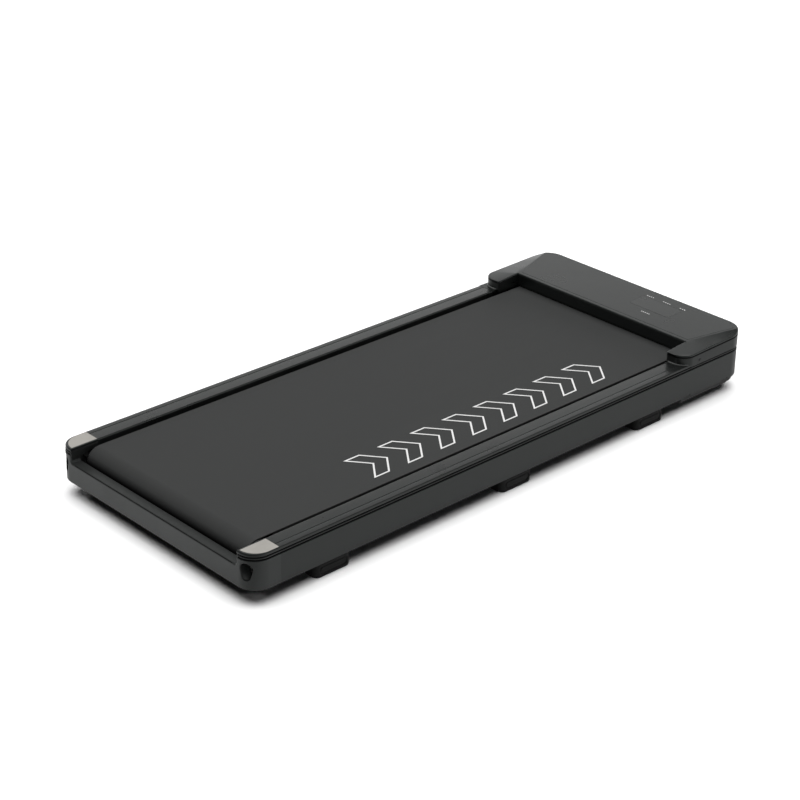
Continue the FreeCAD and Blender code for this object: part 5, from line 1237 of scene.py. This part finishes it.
def floor(studio):
    """Wide pale floor, clear from below; to all but camera rays it carries painted shade, darker under the
    machine and to its right, which the shells mirror.

    It lets shadow rays through, so that the light under it reaches the machine's underside.
    """
    mesh = bpy.data.meshes.new("studio_floor")
    square = rectangle(-FLOOR_REACH, -FLOOR_REACH, FLOOR_REACH, FLOOR_REACH)
    corners = [(x, y, 0.0) for x, y in square]
    mesh.from_pydata(corners, [], [(0, 1, 2, 3)])
    material, tree, shader = new_material("studio_floor")
    place = parts_of(tree, object_place(tree))
    painted_side_shade = between(tree, place["X"], *PAINTED_SHADE_SPAN, *PAINTED_SHADE_LEVELS)
    beside = between(tree, place["X"], *CORNER_SIDE)
    behind = between(tree, place["Y"], *CORNER_REAR)
    near_corner = maths(tree, "MULTIPLY", beside, behind)
    painted_corner_shade = between(tree, near_corner, 0.0, 1.0, 1.0, CORNER_SHARE)
    # Painted shade: to all but camera rays the floor is darker under the machine, out to its right and off
    # the right rear corner
    painted_floor_shade = maths(tree, "MULTIPLY", painted_side_shade, painted_corner_shade)
    ray = add_node(tree, "ShaderNodeLightPath").outputs
    shade = blend(tree, ray["Is Camera Ray"], painted_floor_shade, tuple(studio.floor))
    set_shader(tree, shader, base=shade, rough=0.9, gloss=0.0)
    clear = add_node(tree, "ShaderNodeBsdfTransparent")
    below = add_node(tree, "ShaderNodeNewGeometry").outputs["Backfacing"]
    open_to = maths(tree, "MAXIMUM", below, ray["Is Shadow Ray"])
    mix = add_node(tree, "ShaderNodeMixShader", {0: open_to, 1: shader.outputs[0], 2: clear.outputs[0]})
    tree.links.new(mix.outputs[0], tree.nodes["Material Output"].inputs["Surface"])
    mesh.materials.append(material)
    plane = bpy.data.objects.new("studio_floor", mesh)
    bpy.context.scene.collection.objects.link(plane)


def sweep(studio):
    """Background, white to the camera; what the shells mirror of it is brightest near the horizon."""
    world = bpy.data.worlds.new("studio_sweep")
    bpy.context.scene.world = world
    world.use_nodes = True
    tree = world.node_tree
    facing = parts_of(tree, add_node(tree, "ShaderNodeTexCoord").outputs["Generated"])
    shades = add_node(tree, "ShaderNodeValToRGB", {0: facing["Z"]})
    ramp = shades.color_ramp
    while len(ramp.elements) < len(SWEEP_STEPS):
        ramp.elements.new(0.5)
    for element, (degrees, shade) in zip(ramp.elements, SWEEP_STEPS.items()):
        element.position = math.sin(math.radians(degrees))
        element.color = (shade, shade, shade, 1.0)
    background = tree.nodes["Background"]
    ahead = between(tree, facing["Y"], *SWEEP_FADE, studio.behind * studio.sweep, studio.sweep)
    seen = add_node(tree, "ShaderNodeLightPath").outputs["Is Camera Ray"]
    plain = (1.0, 1.0, 1.0, 1.0)
    tree.links.new(blend(tree, seen, shades.outputs["Color"], plain), background.inputs["Color"])
    tree.links.new(maths(tree, "MAXIMUM", ahead, seen), background.inputs["Strength"])
    world.cycles_visibility.diffuse = False


def soft_light(name, strength, spread, turn):
    """A broad soft light that the glossy shells do not mirror."""
    data = bpy.data.lights.new(name, "SUN")
    data.energy = strength
    data.angle = spread
    lamp = bpy.data.objects.new(name, data)
    lamp.rotation_euler = turn
    lamp.visible_glossy = False
    bpy.context.scene.collection.objects.link(lamp)


class WALKINGPAD_OT_stage(PieceOperator, bpy.types.Operator):
    """Set the camera, the pale floor and the soft light"""

    bl_idname = "walking_pad.stage"
    bl_label = "Studio"

    def make(self):
        studio = settings("studio")
        camera(studio)
        floor(studio)
        sweep(studio)
        soft_light("overhead_softbox", studio.overhead, studio.spread, (-studio.lean, 0.0, 0.0))
        soft_light("underside_fill", studio.fill, studio.spread, (math.pi, 0.0, 0.0))
        bpy.context.scene.view_settings.view_transform = "Standard"


PIECE_OPERATORS = (
    WALKINGPAD_OT_stage, WALKINGPAD_OT_shells, WALKINGPAD_OT_belt, WALKINGPAD_OT_trims,
    WALKINGPAD_OT_corner_pads, WALKINGPAD_OT_key_marks, WALKINGPAD_OT_running_gear,
    WALKINGPAD_OT_drive, WALKINGPAD_OT_power_parts,
    WALKINGPAD_OT_feet_and_wheels, WALKINGPAD_OT_screws)
SETTINGS = {
    "shell": ShellSettings, "belt": BeltSettings, "detail": DetailSettings, "studio": StudioSettings}


class WALKINGPAD_PT_pieces(bpy.types.Panel):
    """Pieces of the walking pad"""

    bl_idname = "WALKINGPAD_PT_pieces"
    bl_label = "Walking Pad"
    bl_space_type = "VIEW_3D"
    bl_region_type = "UI"
    bl_category = "Walking Pad"

    def draw(self, context):
        for operator in PIECE_OPERATORS:
            self.layout.operator(operator.bl_idname)
        for group, kind in SETTINGS.items():
            box = self.layout.box()
            for name in kind.__annotations__:
                box.prop(settings(group), name)


CLASSES = (*SETTINGS.values(), *PIECE_OPERATORS, WALKINGPAD_PT_pieces)


def register():
    for kind in CLASSES:
        bpy.utils.register_class(kind)
    for group, kind in SETTINGS.items():
        setattr(bpy.types.Scene, f"walking_pad_{group}", bpy.props.PointerProperty(type=kind))


def unregister():
    for group in SETTINGS:
        delattr(bpy.types.Scene, f"walking_pad_{group}")
    for kind in reversed(CLASSES):
        bpy.utils.unregister_class(kind)


def main():
    """Make every piece."""
    register()
    for operator in PIECE_OPERATORS:
        call = operator.bl_idname.split(".")[1]
        getattr(bpy.ops.walking_pad, call)()


if __name__ == "__main__":
    main()
